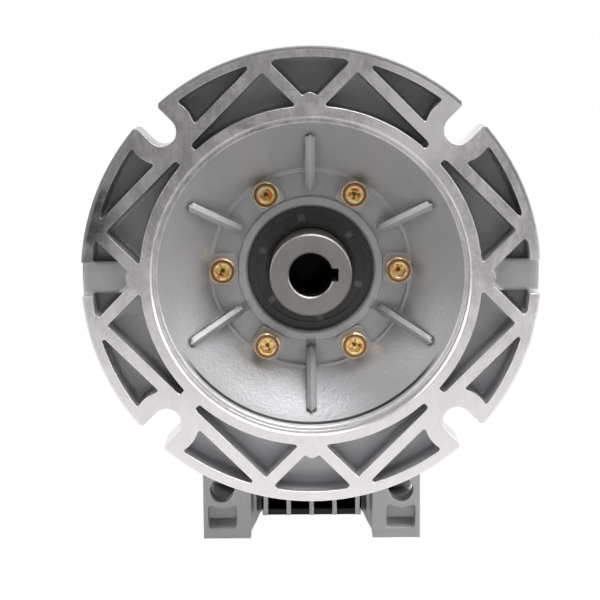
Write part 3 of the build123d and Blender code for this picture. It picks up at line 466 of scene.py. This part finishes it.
def about_worm(f):
    """Distance from the worm axis, angle round it in radians and place along it."""
    up = f.z - WORM_Z
    return distance(f.x, up), up.math("ARCTAN2", f.x), f.y


def about_output(f):
    """Distance from the output axis, angle round it in radians and place along it."""
    up = f.z - OUTPUT_Z
    return distance(f.y, up), up.math("ARCTAN2", f.y), f.x


def folded(angle, sector):
    """Angle from the middle of its own sector, of sectors that start at 0."""
    return angle % sector - sector / 2


# %% [markdown]
# Turning marks
#
# A lathe or a face mill leaves fine rings. As a height they are a wave in the radius, broken by
# noise that is stretched round the ring, so no two grooves look alike. A ring texture alone would
# look like a record. So the vector (radius, angle, depth) is given to noise in place of the
# position.

# %% Rings left by a turning tool
def turned_marks(f, radius, angle, depth, pitch):
    """Height of tool marks: noise on a (radius, angle, depth) vector, fine across the rings."""
    polar = f.node("ShaderNodeCombineXYZ", {}, radius / pitch, angle * 1.5, depth / pitch)[0]
    return f.fractal(polar, 1.0, 3.0, 0.65)


# %% [markdown]
# The painted casting
#
# The bell, the pockets and the housing wear silver-grey paint over die-cast aluminium. Close up it
# is never flat: the spray leaves an orange peel of about a millimetre, the casting below waves
# more slowly, and dust settles in the corners. The paint holds fine aluminium flakes, so it is
# partly metallic, which gives it the long soft gradients from bright to dark. The paint is made
# as three signals, because the flange mixes the same paint with bare metal.

# %% Paint, as three signals that other finishes can mix in
PAINT_DARK, PAINT_PALE = (0.29, 0.287, 0.295), (0.366, 0.362, 0.371)
PAINT_DIRT, PAINT_FLAKE = (0.17, 0.16, 0.145), (0.46, 0.46, 0.47)
PAINT_METALLIC = 0.5
PAINT_BUMP = 0.00012


def paint_signals(f):
    """Colour, roughness and height of the silver-grey paint."""
    cloud = f.noise(38.0, 5.0, 0.6)
    speck = f.noise(2600.0, 2.0, 0.7)
    peel = f.noise(900.0, 2.0, 0.5)
    dirt = f.noise(95.0, 6.0, 0.75).above(0.66, 0.1)
    tone = f.mix(cloud, PAINT_DARK, PAINT_PALE)
    tone = f.mix(dirt * 0.3, tone, PAINT_DIRT)
    tone = f.mix(speck.above(0.62, 0.05) * 0.22, tone, PAINT_FLAKE)
    rough = 0.33 + cloud * 0.1 + dirt * 0.12
    height = peel * 1.3 + speck * 0.3 + cloud * 1.2
    return tone, rough, height


# %% [markdown]
# The housing shows two things more: specks of soot on the outer sides of the feet, and painted
# shade, near black, between the fins at the front, where hardly any light reaches the real one.
# Both are masks on position, so they need no painting by hand. The painted shade stops half way
# back, so the rear fins stay grey.

# %% Paint on a whole casting, with places in millimetres
PAINT_LIFT, PAINT_EDGE_WEAR_AND_HIGHLIGHT = (0.8, 0.8, 0.82), (0.62, 0.62, 0.63)
SOOT, FIN_GAP_PAINTED_SHADE = (0.06, 0.06, 0.07), (0.006, 0.006, 0.008)
SOOT_IN, SOOT_TOP = 37.0, 13.0
FIN_SHADE_HALF, FIN_SHADE_LOW, FIN_SHADE_HIGH, FIN_SHADE_MID = 19.6, 7.0, 32.0, 29.3


def painted_casting(name):
    """Paint all over, sooty at the feet, with painted shade between the front fins."""
    f = Finish(name)
    tone, rough, height = paint_signals(f)
    soft = f.rounded(0.0007)
    tone = f.mix(0.04, tone, PAINT_LIFT)
    # Edges are painted paler: partly worn paint, partly a painted highlight.
    tone = f.mix(f.edges(soft) * 0.45, tone, PAINT_EDGE_WEAR_AND_HIGHLIGHT)
    soot = f.noise(1300.0, 5.0, 0.8).above(0.6, 0.06) * f.noise(210.0, 3.0, 0.6).above(0.52, 0.08)
    soot = soot * abs(f.x).above(SOOT_IN, 2.5) * f.z.below(SOOT_TOP, 3.0)
    tone = f.mix(soot * 0.85, tone, SOOT)
    # Painted shade: the gaps between the front fins are coloured near black, as a shadow would be.
    fin_gap_shade = abs(f.x).below(FIN_SHADE_HALF, 0.1) * f.z.above(FIN_SHADE_LOW, 0.5)
    fin_gap_shade = fin_gap_shade * f.z.below(FIN_SHADE_HIGH, 2.0) * abs(f.y + FIN_SHADE_MID).below(FIN_SHADE_MID, 0.2)
    tone = f.mix(fin_gap_shade, tone, FIN_GAP_PAINTED_SHADE)
    f.set(Base_Color=tone, Roughness=rough, Metallic=PAINT_METALLIC)
    f.set(Normal=f.bump(height, PAINT_BUMP, 0.5, soft))
    return f


# %% [markdown]
# The motor flange
#
# One casting, two finishes. The front face, the pilot step, the slots and the rim are turned or
# milled bright after painting; the pockets between the ribs and the bell keep their paint. The
# flange could be cut into pieces with a material each. Here the step between the two is a mask
# worked out from depth behind the face and from the radius, so it falls on the real edges.

# %% Bare aluminium that has been handled
METAL_DULL, METAL_BRIGHT = (0.49, 0.466, 0.475), (0.96, 0.922, 0.938)
SMUDGE, SCRATCH, NICK = (0.11, 0.105, 0.105), (0.3, 0.29, 0.29), (0.2, 0.19, 0.19)
LONG_WAVES = (0.03, 1.0, 1.0)


def worn_aluminium(f):
    """Colour of the machined face and a mask of its dark smudges at the upper left."""
    cloud = f.step(f.noise(150.0, 8.0, 0.8, stretch=(1.0, 1.0, 0.6)), 0.36, 0.66)
    grain = f.noise(1100.0, 3.0, 0.7, stretch=(1.0, 1.0, 0.35))
    calm = f.z.below(95.0, 45.0)
    patch = f.lerp(calm, cloud * 0.7 + grain * 0.3, 0.7 + cloud * 0.14 + grain * 0.1)
    metal = f.mix(patch, METAL_DULL, METAL_BRIGHT)
    corner = (-f.x).above(44.0, 22.0) * f.z.above(118.0, 16.0)
    blotch = f.noise(52.0, 6.0, 0.7)
    edge_dirt = (-f.x).above(72.0, 7.0) * f.z.above(112.0, 4.0)
    smudge = blotch.above(0.5, 0.16) * corner * 0.45 + edge_dirt * (0.35 + blotch * 0.7)
    smudge = smudge.clamp()
    metal = f.mix(smudge, metal, SMUDGE)
    across = f.noise(300.0, 2.0, 0.5, stretch=LONG_WAVES, turn=0.7).above(0.735, 0.02)
    down = f.noise(260.0, 2.0, 0.5, stretch=LONG_WAVES, turn=-0.5).above(0.735, 0.02)
    metal = f.mix((across + down).clamp() * 0.35, metal, SCRATCH)
    nick = f.noise(620.0, 2.0, 0.6).above(0.76, 0.02)
    return f.mix(nick * 0.5, metal, NICK), smudge


# %% Which surfaces belong to the bolt slots and to the bell's ribs
SLOT_CIRCLE_R, SLOT_REACH = 149.225 / 2, 5.6
RIB_HALF, RIB_RADII = 1.9, (26.0, 51.0)


def slot_walls(radius, angle):
    """1 on the milled walls of the four open bolt slots, worked out in one folded quarter."""
    local = folded(angle, QUARTER)
    along = radius * local.math("COSINE") - SLOT_CIRCLE_R
    across = radius * local.math("SINE")
    return distance(along.math("MINIMUM", 0.0), across).below(SLOT_REACH, 0.1)


def bell_ribs(radius, angle):
    """1 on the six thin ribs in the bell and on its wall there, from one folded sixth."""
    across = radius * folded(angle, SIXTH).math("SINE")
    return abs(across).below(RIB_HALF, 0.1) * radius.between(RIB_RADII, 1.0)


# %% Radii, depths and tones of the flange, in millimetres
FACE_DEPTH = 0.25
PILOT_RADII, PILOT_DEPTH = (54.9, 56.95), 4.25
CREASE_RADII, LIP_RADII = (54.1, 54.9), (53.2, 60.0)
BREAK_RADII, BREAK_DEPTH = (57.05, 57.95), 0.8
POCKET_IN, POCKET_DEPTH = 60.0, 3.0
RIM_IN, RIM_BREAK_IN, RIM_BREAK_DEPTH = 82.2, 81.35, 1.4
SHEEN_ANGLES = (0.72, 1.2)

CAST_EDGE_WEAR_AND_HIGHLIGHT, POCKET_PAINTED_LIGHT, POCKET_PAINTED_SHADE = (0.72, 0.72, 0.73), (0.78, 0.78, 0.80), (0.12, 0.12, 0.125)
RIB_PAINTED_SHADE, CREASE_PAINTED_SHADE = (0.10, 0.10, 0.105), (0.01, 0.01, 0.012)
PAINTED_SHEEN, RIM_BREAK_PAINTED_SHADE = (1.0, 0.965, 0.978), (0.105, 0.102, 0.106)


# %% Machined face over paint
def flange_paint(f, radius, angle, depth):
    """Colour with painted light and shade, roughness, height and rounded normal of the painted
    side.
    """
    tone, rough, height = paint_signals(f)
    tight, wide = f.rounded(0.0006), f.rounded(0.003)
    pocket = radius.above(POCKET_IN, 0.5) * depth.above(POCKET_DEPTH, 1.0)
    lip = radius.between(LIP_RADII, 0.4)
    # Edges, and in the pockets the corners to the floor, are painted paler: partly worn paint,
    # partly a painted highlight.
    edge_wear_and_highlight = f.lerp(pocket, f.edges(tight) * 0.6 * (1.0 - lip), f.edges(wide, 1.6) * 0.45)
    low = f.z.below(100.0, 50.0)
    # Painted shade: a near black line in the crease at the bell's edge, in the lower part only.
    crease_shade = radius.between(CREASE_RADII, 0.1) * f.z.below(78.0, 6.0)
    tone = f.mix(edge_wear_and_highlight, tone, CAST_EDGE_WEAR_AND_HIGHLIGHT)
    # Painted light and shade: pockets in the lower half are painted paler and those in the upper
    # half darker.
    tone = f.mix(pocket * low * 0.4, tone, POCKET_PAINTED_LIGHT)
    tone = f.mix(pocket * (1.0 - low) * 0.22, tone, POCKET_PAINTED_SHADE)
    # Painted shade: the bell's ribs are painted darker in the lower half.
    tone = f.mix(bell_ribs(radius, angle) * low * 0.75, tone, RIB_PAINTED_SHADE)
    tone = f.mix(crease_shade * 0.95, tone, CREASE_PAINTED_SHADE)
    return tone, rough, height, f.mix(pocket, tight, wide, "VECTOR")


def flange_bright(f, radius, angle, depth):
    """1 where the flange is bare metal: face, pilot step, its broken edge in the upper part only,
    rim and slots.
    """
    pilot = radius.between(PILOT_RADII, 0.1) * depth.below(PILOT_DEPTH, 0.1)
    # The broken edge is bare metal in the upper part only; below it keeps the paint, a painted
    # shade that hides its highlight there.
    broken = radius.between(BREAK_RADII, 0.08) * depth.below(BREAK_DEPTH, 0.1)
    broken = broken * f.z.above(85.0, 25.0)
    face, rim = depth.below(FACE_DEPTH, 0.1), radius.above(RIM_IN, 0.1)
    return (face + pilot + broken + rim + slot_walls(radius, angle)).clamp()


def flange_finish():
    """Painted casting with a machined front face, pilot step and rim, a painted sheen at the upper
    right and painted shade on the rim's upper broken edge.
    """
    f = Finish("flange_casting")
    radius, angle, along = about_worm(f)
    depth = along - FACE_Y
    bright = flange_bright(f, radius, angle, depth)
    tone, rough, height, cast = flange_paint(f, radius, angle, depth)
    marks = turned_marks(f, radius, angle, depth, 0.35)
    metal, smudge = worn_aluminium(f)
    # Painted highlight: the bare metal in a sector at the upper right is painted brighter, as a
    # sheen.
    metal = f.mix(angle.between(SHEEN_ANGLES, 0.16) * 0.8, metal, PAINTED_SHEEN)
    # Painted shade: the rim's broken edge is dark grey, matt and not metallic in the upper part
    # only.
    rim_break_shade = radius.above(RIM_BREAK_IN, 0.1) * depth.below(RIM_BREAK_DEPTH, 0.1)
    rim_break_shade = rim_break_shade * f.z.above(115.0, 30.0)
    metal = f.mix(rim_break_shade, metal, RIM_BREAK_PAINTED_SHADE)
    f.set(Base_Color=f.mix(bright, tone, metal))
    f.set(Roughness=f.lerp(bright, rough, 0.24 + marks * 0.1 + smudge * 0.14 + rim_break_shade * 0.35))
    f.set(Metallic=f.lerp(bright, PAINT_METALLIC, 1.0) * (1.0 - rim_break_shade))
    normal = f.mix(bright, cast, f.rounded(0.00025), "VECTOR")
    f.set(Normal=f.bump(f.lerp(bright, height, marks * 0.3), PAINT_BUMP, 0.85, normal))
    return f


flange = flange_finish()
report(flange)

# %% [markdown]
# Turned and ground steel
#
# The worm shaft is ground on its outside and faced on its end. Its bore is painted near black, as
# painted shade in the hollow, and the chamfers catch the light. A plain grey metal would look like
# chrome. Tool marks in the height, the gloss and the colour make it steel, and the same recipe
# with other colours serves the output shaft, the bearings and the bronze rim.

# %% Steel finishes
WORM_BORE_R = 8.05
BORE_PAINTED_SHADE = (0.045, 0.043, 0.042)
RING_DARK, RING_PALE = (0.52, 0.52, 0.53), (0.68, 0.68, 0.69)


def turned_metal(name, about, dark, pale, rough, pitch=0.3, bore=None):
    """Turned metal with tool marks round an axis, and a bore painted dark as shade if a radius is
    given.
    """
    f = Finish(name)
    radius, angle, along = about(f)
    marks = turned_marks(f, radius, angle, along, pitch)
    cloud = f.noise(120.0, 5.0, 0.6)
    tone = f.mix(cloud * 0.7 + marks * 0.3, dark, pale)
    gloss = rough + marks * 0.12 + cloud * 0.06
    if bore:
        # Painted shade: the bore is coloured near black.
        inside = radius.below(bore, 0.12)
        tone = f.mix(inside, tone, BORE_PAINTED_SHADE)
        gloss = f.lerp(inside, gloss, 0.5)
    f.set(Base_Color=tone, Roughness=gloss, Metallic=1.0)
    f.set(Normal=f.bump(marks, 0.00004, 0.5))
    return f


worm_steel = turned_metal(
    "worm_steel", about_worm, (0.22, 0.205, 0.20), (0.38, 0.36, 0.35), 0.34, bore=WORM_BORE_R
)
output_steel = turned_metal(
    "output_steel", about_output, (0.42, 0.41, 0.40), (0.58, 0.57, 0.56), 0.28
)
rim_bronze = turned_metal(
    "rim_bronze", about_output, (0.50, 0.30, 0.13), (0.68, 0.44, 0.20), 0.3
)
bearing_steel_worm = turned_metal(
    "bearing_steel_worm", about_worm, RING_DARK, RING_PALE, 0.16, 0.2
)
bearing_steel_output = turned_metal(
    "bearing_steel_output", about_output, RING_DARK, RING_PALE, 0.16, 0.2
)
report(worm_steel, output_steel, rim_bronze, bearing_steel_worm, bearing_steel_output)

# %% [markdown]
# Rubber
#
# The oil seals are black nitrile moulded over a steel ring. Rubber is nearly black, a little
# dusty, and has fine moulding rings round its axis. The notches of the front seal are in its mesh,
# but in black rubber they can't be seen, so their floors are a little paler.

# %% Seal rubber
RUBBER_DARK, RUBBER_DUSTY = (0.02, 0.019, 0.018), (0.075, 0.07, 0.066)
RUBBER_EDGE_HIGHLIGHT, NOTCH_FLOOR = (0.11, 0.11, 0.115), (0.085, 0.09, 0.10)
NOTCH_START, NOTCH_HALF = math.radians(100.0), 1.2
NOTCH_RADII, NOTCH_DEPTH = (17.6, 20.4), 26.85


def seal_rubber(name, about, notches=0):
    """Black moulded rubber with faint rings and dust, a painted highlight on its edges, and paler
    floors in its notches.
    """
    f = Finish(name)
    radius, angle, along = about(f)
    rings = turned_marks(f, radius, angle, along, 0.9)
    dust = f.noise(420.0, 6.0, 0.75).above(0.6, 0.12)
    tone = f.mix(dust * 0.3, RUBBER_DARK, RUBBER_DUSTY)
    # Painted highlight: the edges of the rubber are paler.
    tone = f.mix(f.edges(f.rounded(0.0004)) * 0.5, tone, RUBBER_EDGE_HIGHLIGHT)
    if notches:
        sector = 2 * math.pi / notches
        across = folded(angle + sector / 2 - NOTCH_START, sector) * radius
        floor = abs(across).below(NOTCH_HALF, 0.15) * radius.between(NOTCH_RADII, 0.2)
        tone = f.mix(floor * (along - FACE_Y).above(NOTCH_DEPTH, 0.1), tone, NOTCH_FLOOR)
    f.set(Base_Color=tone, Roughness=0.42 + dust * 0.25, Metallic=0.0)
    f.set(Normal=f.bump(rings * 0.6 + dust * 0.3, 0.00006, 0.5))
    return f


input_rubber = seal_rubber("input_rubber", about_worm, notches=6)
output_rubber = seal_rubber("output_rubber", about_output)
report(input_rubber, output_rubber)

# %% [markdown]
# Yellow zinc
#
# The screws are plated with yellow zinc, whose thin film shows gold with patches of pink and
# green. The six-sided sockets mirror the room and each other in small facets. Real mirrors would
# need more faces than a screw has here, so the facets are painted reflections made in the shader:
# whole numbers of sector, ring and screw go into white noise, and its value picks a colour from a
# ramp. The centre of each socket gets painted shade and its mouth a painted highlight. The flange
# of each screw is browner, with painted highlights on its outer edge and its edges.

# %% Plated screws, with radii from a screw's own axis in millimetres
SCREW_CIRCLE_R = 32.5
SOCKET_R, SOCKET_CENTRE_R, SOCKET_MOUTH = 3.0, 0.85, (2.15, 2.9)
HEAD_BAND, HEAD_EDGE_R = (3.45, 4.35), 4.6
FACETS_ROUND, FACETS_PER_MM, FACETS_DRIFT = 12, 0.9, 1.6

FILM_STOPS = [
    (0.05, (0.30, 0.07, 0.015)), (0.3, (0.98, 0.36, 0.05)), (0.5, (1.0, 0.76, 0.10)),
    (0.75, (1.0, 0.76, 0.62)), (0.97, (0.46, 0.44, 0.05)),
]
SOCKET_PAINTED_SHADE, SOCKET_PAINTED_GLINT = (0.05, 0.025, 0.01), (1.0, 0.8, 0.5)
HEAD_DARK, HEAD_PALE, HEAD_BROWN = (0.44, 0.28, 0.15), (0.74, 0.51, 0.29), (0.085, 0.042, 0.02)
HEAD_PAINTED_GLINT, ZINC_EDGE_HIGHLIGHT = (1.0, 0.82, 0.56), (0.95, 0.78, 0.5)


def socket_film_and_reflections(f, from_screw, turn, angle):
    """Colour of a screw's socket: painted reflections, one random film tone for each sector, ring
    and screw, with painted shade at the centre and a painted highlight at the mouth.
    """
    drift = f.noise(420.0, 2.0, 0.5)
    sector = (turn * FACETS_ROUND / (2 * math.pi) + drift * FACETS_DRIFT).math("FLOOR")
    ring = (from_screw * FACETS_PER_MM).math("FLOOR")
    screw = (angle / SIXTH + 0.5).math("FLOOR")
    cell = f.node("ShaderNodeCombineXYZ", {}, sector, ring, screw)[0]
    facet = f.node("ShaderNodeTexWhiteNoise", {"noise_dimensions": "3D"}, Vector=cell)["Value"]
    film = f.node("ShaderNodeValToRGB", {"stops": FILM_STOPS}, facet)["Color"]
    # Painted shade at the socket's deep centre, and a painted highlight at its mouth.
    film = f.mix(from_screw.below(SOCKET_CENTRE_R, 0.25) * 0.9, film, SOCKET_PAINTED_SHADE)
    return f.mix(from_screw.between(SOCKET_MOUTH, 0.12) * 0.45, film, SOCKET_PAINTED_GLINT)


def yellow_zinc(name):
    """Gold plated steel: a brown band and painted highlights on the edges of each head, painted
    reflections in its socket.
    """
    f = Finish(name)
    radius, angle, _ = about_worm(f)
    local = folded(angle + SIXTH / 2, SIXTH)
    out = radius * local.math("COSINE") - SCREW_CIRCLE_R
    across = radius * local.math("SINE")
    from_screw = distance(out, across)
    film = socket_film_and_reflections(f, from_screw, across.math("ARCTAN2", out), angle)
    fine = f.noise(1700.0, 3.0, 0.6)
    soft = f.rounded(0.00035)
    band = from_screw.above(HEAD_BAND[0], 0.12) * from_screw.below(HEAD_BAND[1], 0.15)
    head = f.mix(fine.above(0.5, 0.3), HEAD_DARK, HEAD_PALE)
    head = f.mix(band * (0.6 + fine * 0.4), head, HEAD_BROWN)
    # Painted highlights: the outer edge and all edges of each head are paler.
    head = f.mix(from_screw.above(HEAD_EDGE_R, 0.12) * 0.8, head, HEAD_PAINTED_GLINT)
    head = f.mix(f.edges(soft), head, ZINC_EDGE_HIGHLIGHT)
    rim = from_screw.above(SOCKET_R, 0.1)
    f.set(Base_Color=f.mix(rim, film, head), Roughness=0.13 + fine * 0.08 + rim * 0.08)
    f.set(Metallic=0.65 + rim * 0.25)
    f.set(Normal=f.bump(fine, 0.00003, 0.5, soft))
    return f


screw_zinc = yellow_zinc("screw_zinc")
report(screw_zinc)

# %% [markdown]
# Small plain parts
#
# Plugs, washers, clips, cages and the gasket are small, and most of them are hidden. Each could
# have its own recipe, but one of cloudy colour and fine grain is enough for all of them, and only
# its numbers differ. The housing gets its paint here too.

# %% Plain plated and pressed parts, and the housing's paint
def plain_metal(name, dark, pale, rough, metallic=1.0, grain=2000.0):
    """Small part with cloudy colour and a fine grain."""
    f = Finish(name)
    cloud = f.noise(170.0, 5.0, 0.65)
    fine = f.noise(grain, 2.0, 0.6)
    f.set(Base_Color=f.mix(cloud, dark, pale), Roughness=rough + fine * 0.12, Metallic=metallic)
    f.set(Normal=f.bump(fine, 0.00004, 0.4, f.rounded(0.0003)))
    return f


plug_zinc = plain_metal("plug_zinc", (0.48, 0.49, 0.50), (0.66, 0.67, 0.68), 0.26)
black_steel = plain_metal("black_steel", (0.03, 0.03, 0.032), (0.06, 0.06, 0.062), 0.36, 0.7)
pressed_steel = plain_metal("pressed_steel", (0.36, 0.35, 0.34), (0.5, 0.49, 0.48), 0.3)
washer_alloy = plain_metal("washer_alloy", (0.55, 0.55, 0.55), (0.7, 0.7, 0.7), 0.34)
gasket_fibre = plain_metal(
    "gasket_fibre", (0.05, 0.06, 0.05), (0.09, 0.1, 0.085), 0.8, 0.0, 3600.0
)
housing_paint = painted_casting("housing_paint")
report(plug_zinc, black_steel, pressed_steel, washer_alloy, gasket_fibre, housing_paint)

# %% [markdown]
# Giving every node its finish
#
# A node's name says what it is, so a table from names to finishes is enough. The four bearings
# have the same parts, so a loop fills in theirs. The two copies that are shown in place of CAD
# nodes wear what those nodes wear.

# %% Assign the finishes
def dress(piece, finish):
    """Puts a finish on every slot of an object."""
    piece.data.materials.clear()
    piece.data.materials.append(finish.material)


WORN = {
    "housing": housing_paint, "output_cover": housing_paint, "rear_cap": black_steel,
    "motor_flange": flange, "flange_gasket": gasket_fibre, "flange_screws": screw_zinc,
    "cover_screws": screw_zinc, "input_seal": input_rubber, "output_seal_left": output_rubber,
    "output_seal_right": output_rubber, "cover_o_ring": output_rubber, "worm_shaft": worm_steel,
    "output_shaft": output_steel, "worm_wheel_rim": rim_bronze, "wheel_pins": bearing_steel_output,
    "fill_plug": plug_zinc, "drain_plug": plug_zinc, "fill_plug_washer": washer_alloy,
    "drain_plug_washer": washer_alloy, "worm_front_circlip": black_steel,
    "worm_rear_circlip": black_steel, "rear_bore_circlip": black_steel,
}
for end, steel in (
    ("front", bearing_steel_worm), ("rear", bearing_steel_worm),
    ("left", bearing_steel_output), ("right", bearing_steel_output),
):
    for part in ("outer_ring", "inner_ring", "balls"):
        WORN[f"{end}_bearing_{part}"] = steel
    WORN[f"{end}_bearing_cage"] = pressed_steel
for node_name in nodes:
    dress(nodes[node_name], WORN[node_name])
dress(housing_shown, housing_paint)
dress(seal_shown, input_rubber)
print("finishes given to", len(nodes), "nodes and 2 copies")

# %% [markdown]
# The sweep
#
# The reducer stands on a white sweep: a floor that bends up into a backdrop. A plane and a wall
# would show the line where they meet. This is one profile carried along X, worked out as a grid.
# The camera and bright metal see it as white, and all other rays see a pale matt paper, so the
# object's shadow on it is real.

# %% A floor and backdrop from one profile
FLOOR_SHARE, ARC_SHARE, WALL_START, WALL_SHARE = 0.5, 0.3, 0.8, 0.2


def sweep_grid(width=3.4, front=-0.72, back=1.5, bend=0.7, rise=1.6, count=60):
    """Grid of points (x, profile(t)): flat floor, a quarter circle of radius bend, then a wall."""
    t = np.linspace(0.0, 1.0, count)
    floor_part = np.clip(t / FLOOR_SHARE, 0, 1)
    arc_part = np.clip((t - FLOOR_SHARE) / ARC_SHARE, 0, 1) * QUARTER
    wall_part = np.clip((t - WALL_START) / WALL_SHARE, 0, 1)
    y = front + (back - front) * floor_part + bend * np.sin(arc_part)
    z = bend * (1 - np.cos(arc_part)) + rise * wall_part
    grid_x, grid_y = np.meshgrid(np.linspace(-width, width, 2), y, indexing="ij")
    return np.stack([grid_x, grid_y, np.broadcast_to(z, grid_x.shape)], axis=-1)


def mesh_from_grid(name, grid):
    """Mesh of a (rows, columns, 3) grid of points with one quad per cell."""
    rows, columns = grid.shape[:2]
    index = np.arange(rows * columns).reshape(rows, columns)
    corners = [index[:-1, :-1], index[1:, :-1], index[1:, 1:], index[:-1, 1:]]
    quads = np.stack(corners, axis=-1).reshape(-1, 4)
    mesh = bpy.data.meshes.new(name)
    mesh.from_pydata(grid.reshape(-1, 3).tolist(), [], quads.tolist())
    mesh.polygons.foreach_set("use_smooth", np.ones(len(quads), bool))
    return mesh


# %% Paper that looks white and takes a shadow
WHITE, PAPER = (1, 1, 1), (0.82, 0.82, 0.82)
WHITE_SHARE = 0.985


def paper_finish():
    """White paper that the camera and bright metal see as white apart from the shadow."""
    f = Finish("sweep_paper")
    f.set(Base_Color=PAPER, Roughness=0.9)
    path = f.node("ShaderNodeLightPath", {})
    glow = f.node("ShaderNodeEmission", {}, Color=WHITE, Strength=1.0)["Emission"]
    seen = (path["Is Camera Ray"] + path["Is Glossy Ray"] + path["Is Transmission Ray"]).clamp()
    matt = Signal(f, f.shader.outputs[0])
    mixed = f.node("ShaderNodeMixShader", {}, seen * WHITE_SHARE, matt, glow)["Shader"]
    surface = next(n for n in f.tree.nodes if n.type == "OUTPUT_MATERIAL").inputs["Surface"]
    f.feed(surface, mixed)
    return f


sweep = add_object("sweep", mesh_from_grid("sweep", sweep_grid()))
sweep.data.materials.append(paper_finish().material)
print("sweep:", len(sweep.data.polygons), "faces")

# %% [markdown]
# Light
#
# Plain soft studio light: a large soft box above, a weak one in front and one on each side. One
# strong lamp would leave hard shadows in the bell, and large boxes wrap round it. A small card
# far behind the camera and low down, with a painted sheen on the metal, gives the upper right of
# the flange its shine.

# %% Soft boxes
def soft_box(name, place, aim, size, power):
    """Square area lamp at a place, aimed at a point."""
    lamp = bpy.data.lights.new(name, "AREA")
    lamp.shape = "SQUARE"
    lamp.size = size
    lamp.energy = power
    holder = add_object(name, lamp)
    holder.location = place
    holder.rotation_euler = (Vector(aim) - Vector(place)).to_track_quat("-Z", "Y").to_euler()


CENTRE = (0.0, 0.0, 0.1)
FLANGE_RIGHT = (0.045, -0.106, 0.165)
soft_box("top_box", (0.25, -0.3, 1.2), CENTRE, 1.0, 31.0)
soft_box("front_box", (0.0, -1.5, 1.1), CENTRE, 1.2, 2.5)
soft_box("low_card", (0.22, -2.4, 0.07), FLANGE_RIGHT, 0.12, 0.36)
soft_box("left_box", (-1.1, -0.35, 0.55), CENTRE, 0.8, 9.0)
soft_box("right_box", (1.1, -0.35, 0.55), CENTRE, 0.8, 11.0)

# %% [markdown]
# The world is white to the camera, and to metal that mirrors what is behind the object. Metal
# that mirrors the room behind the camera sees grey there, which is why the flange face is bright
# below, where it mirrors the paper, and greyer above. One plain grey world would leave the steel
# flat, so the direction of the mirrored ray chooses between white and grey.

# %% The room
ROOM_GREY, ROOM_STRENGTH = (0.4, 0.4, 0.41), 0.42
WHITE_FROM = 0.4

world = bpy.data.worlds.new("studio")
bpy.context.scene.world = world
world.use_nodes = True
air = world.node_tree
room = air.nodes["Background"]
room.inputs["Color"].default_value = (*ROOM_GREY, 1.0)
room.inputs["Strength"].default_value = ROOM_STRENGTH
white = air.nodes.new("ShaderNodeBackground")
white.inputs["Color"].default_value = (*WHITE, 1)
path = air.nodes.new("ShaderNodeLightPath")
way = air.nodes.new("ShaderNodeTexCoord")
split = air.nodes.new("ShaderNodeSeparateXYZ")
ahead = air.nodes.new("ShaderNodeMapRange")
ahead.inputs["From Min"].default_value = 0.0
ahead.inputs["From Max"].default_value = WHITE_FROM
mirrored = air.nodes.new("ShaderNodeMath")
mirrored.operation = "MULTIPLY"
seen = air.nodes.new("ShaderNodeMath")
seen.operation = "MAXIMUM"
choose = air.nodes.new("ShaderNodeMixShader")
surface = air.nodes["World Output"].inputs["Surface"]
for start, end in (
    (way.outputs["Generated"], split.inputs[0]), (split.outputs["Y"], ahead.inputs["Value"]),
    (ahead.outputs["Result"], mirrored.inputs[0]),
    (path.outputs["Is Glossy Ray"], mirrored.inputs[1]), (mirrored.outputs[0], seen.inputs[0]),
    (path.outputs["Is Camera Ray"], seen.inputs[1]), (seen.outputs[0], choose.inputs[0]),
    (room.outputs[0], choose.inputs[1]), (white.outputs[0], choose.inputs[2]),
    (choose.outputs[0], surface),
):
    air.links.new(start, end)
print("world:", len(air.nodes), "shader nodes")

# %% [markdown]
# Camera
#
# The camera could be placed by eye until the outlines match. Here its place was solved from the
# photograph: points whose place on the object is known, such as the slots and the feet, fix where
# it stands, how far it tilts and how long its lens is.

# %% Camera at the photograph's angle
FOCAL_PIXELS, FRAME_PIXELS, SENSOR_MM = 1785.6, 600, 36.0
PITCH, ROLL = math.radians(9.04), math.radians(-0.41)
CAMERA_PLACE = (-0.0040, -0.7394, 0.2029)

camera_data = bpy.data.cameras.new("camera")
camera_data.sensor_width = SENSOR_MM
camera_data.lens = FOCAL_PIXELS * SENSOR_MM / FRAME_PIXELS
camera = add_object("camera", camera_data)
looking = Matrix.Rotation(QUARTER - PITCH, 4, "X") @ Matrix.Rotation(ROLL, 4, "Z")
camera.matrix_world = Matrix.Translation(CAMERA_PLACE) @ looking
bpy.context.scene.camera = camera
bpy.context.scene.view_settings.view_transform = "Standard"
print("camera lens", round(camera_data.lens, 1), "mm at", CAMERA_PLACE)
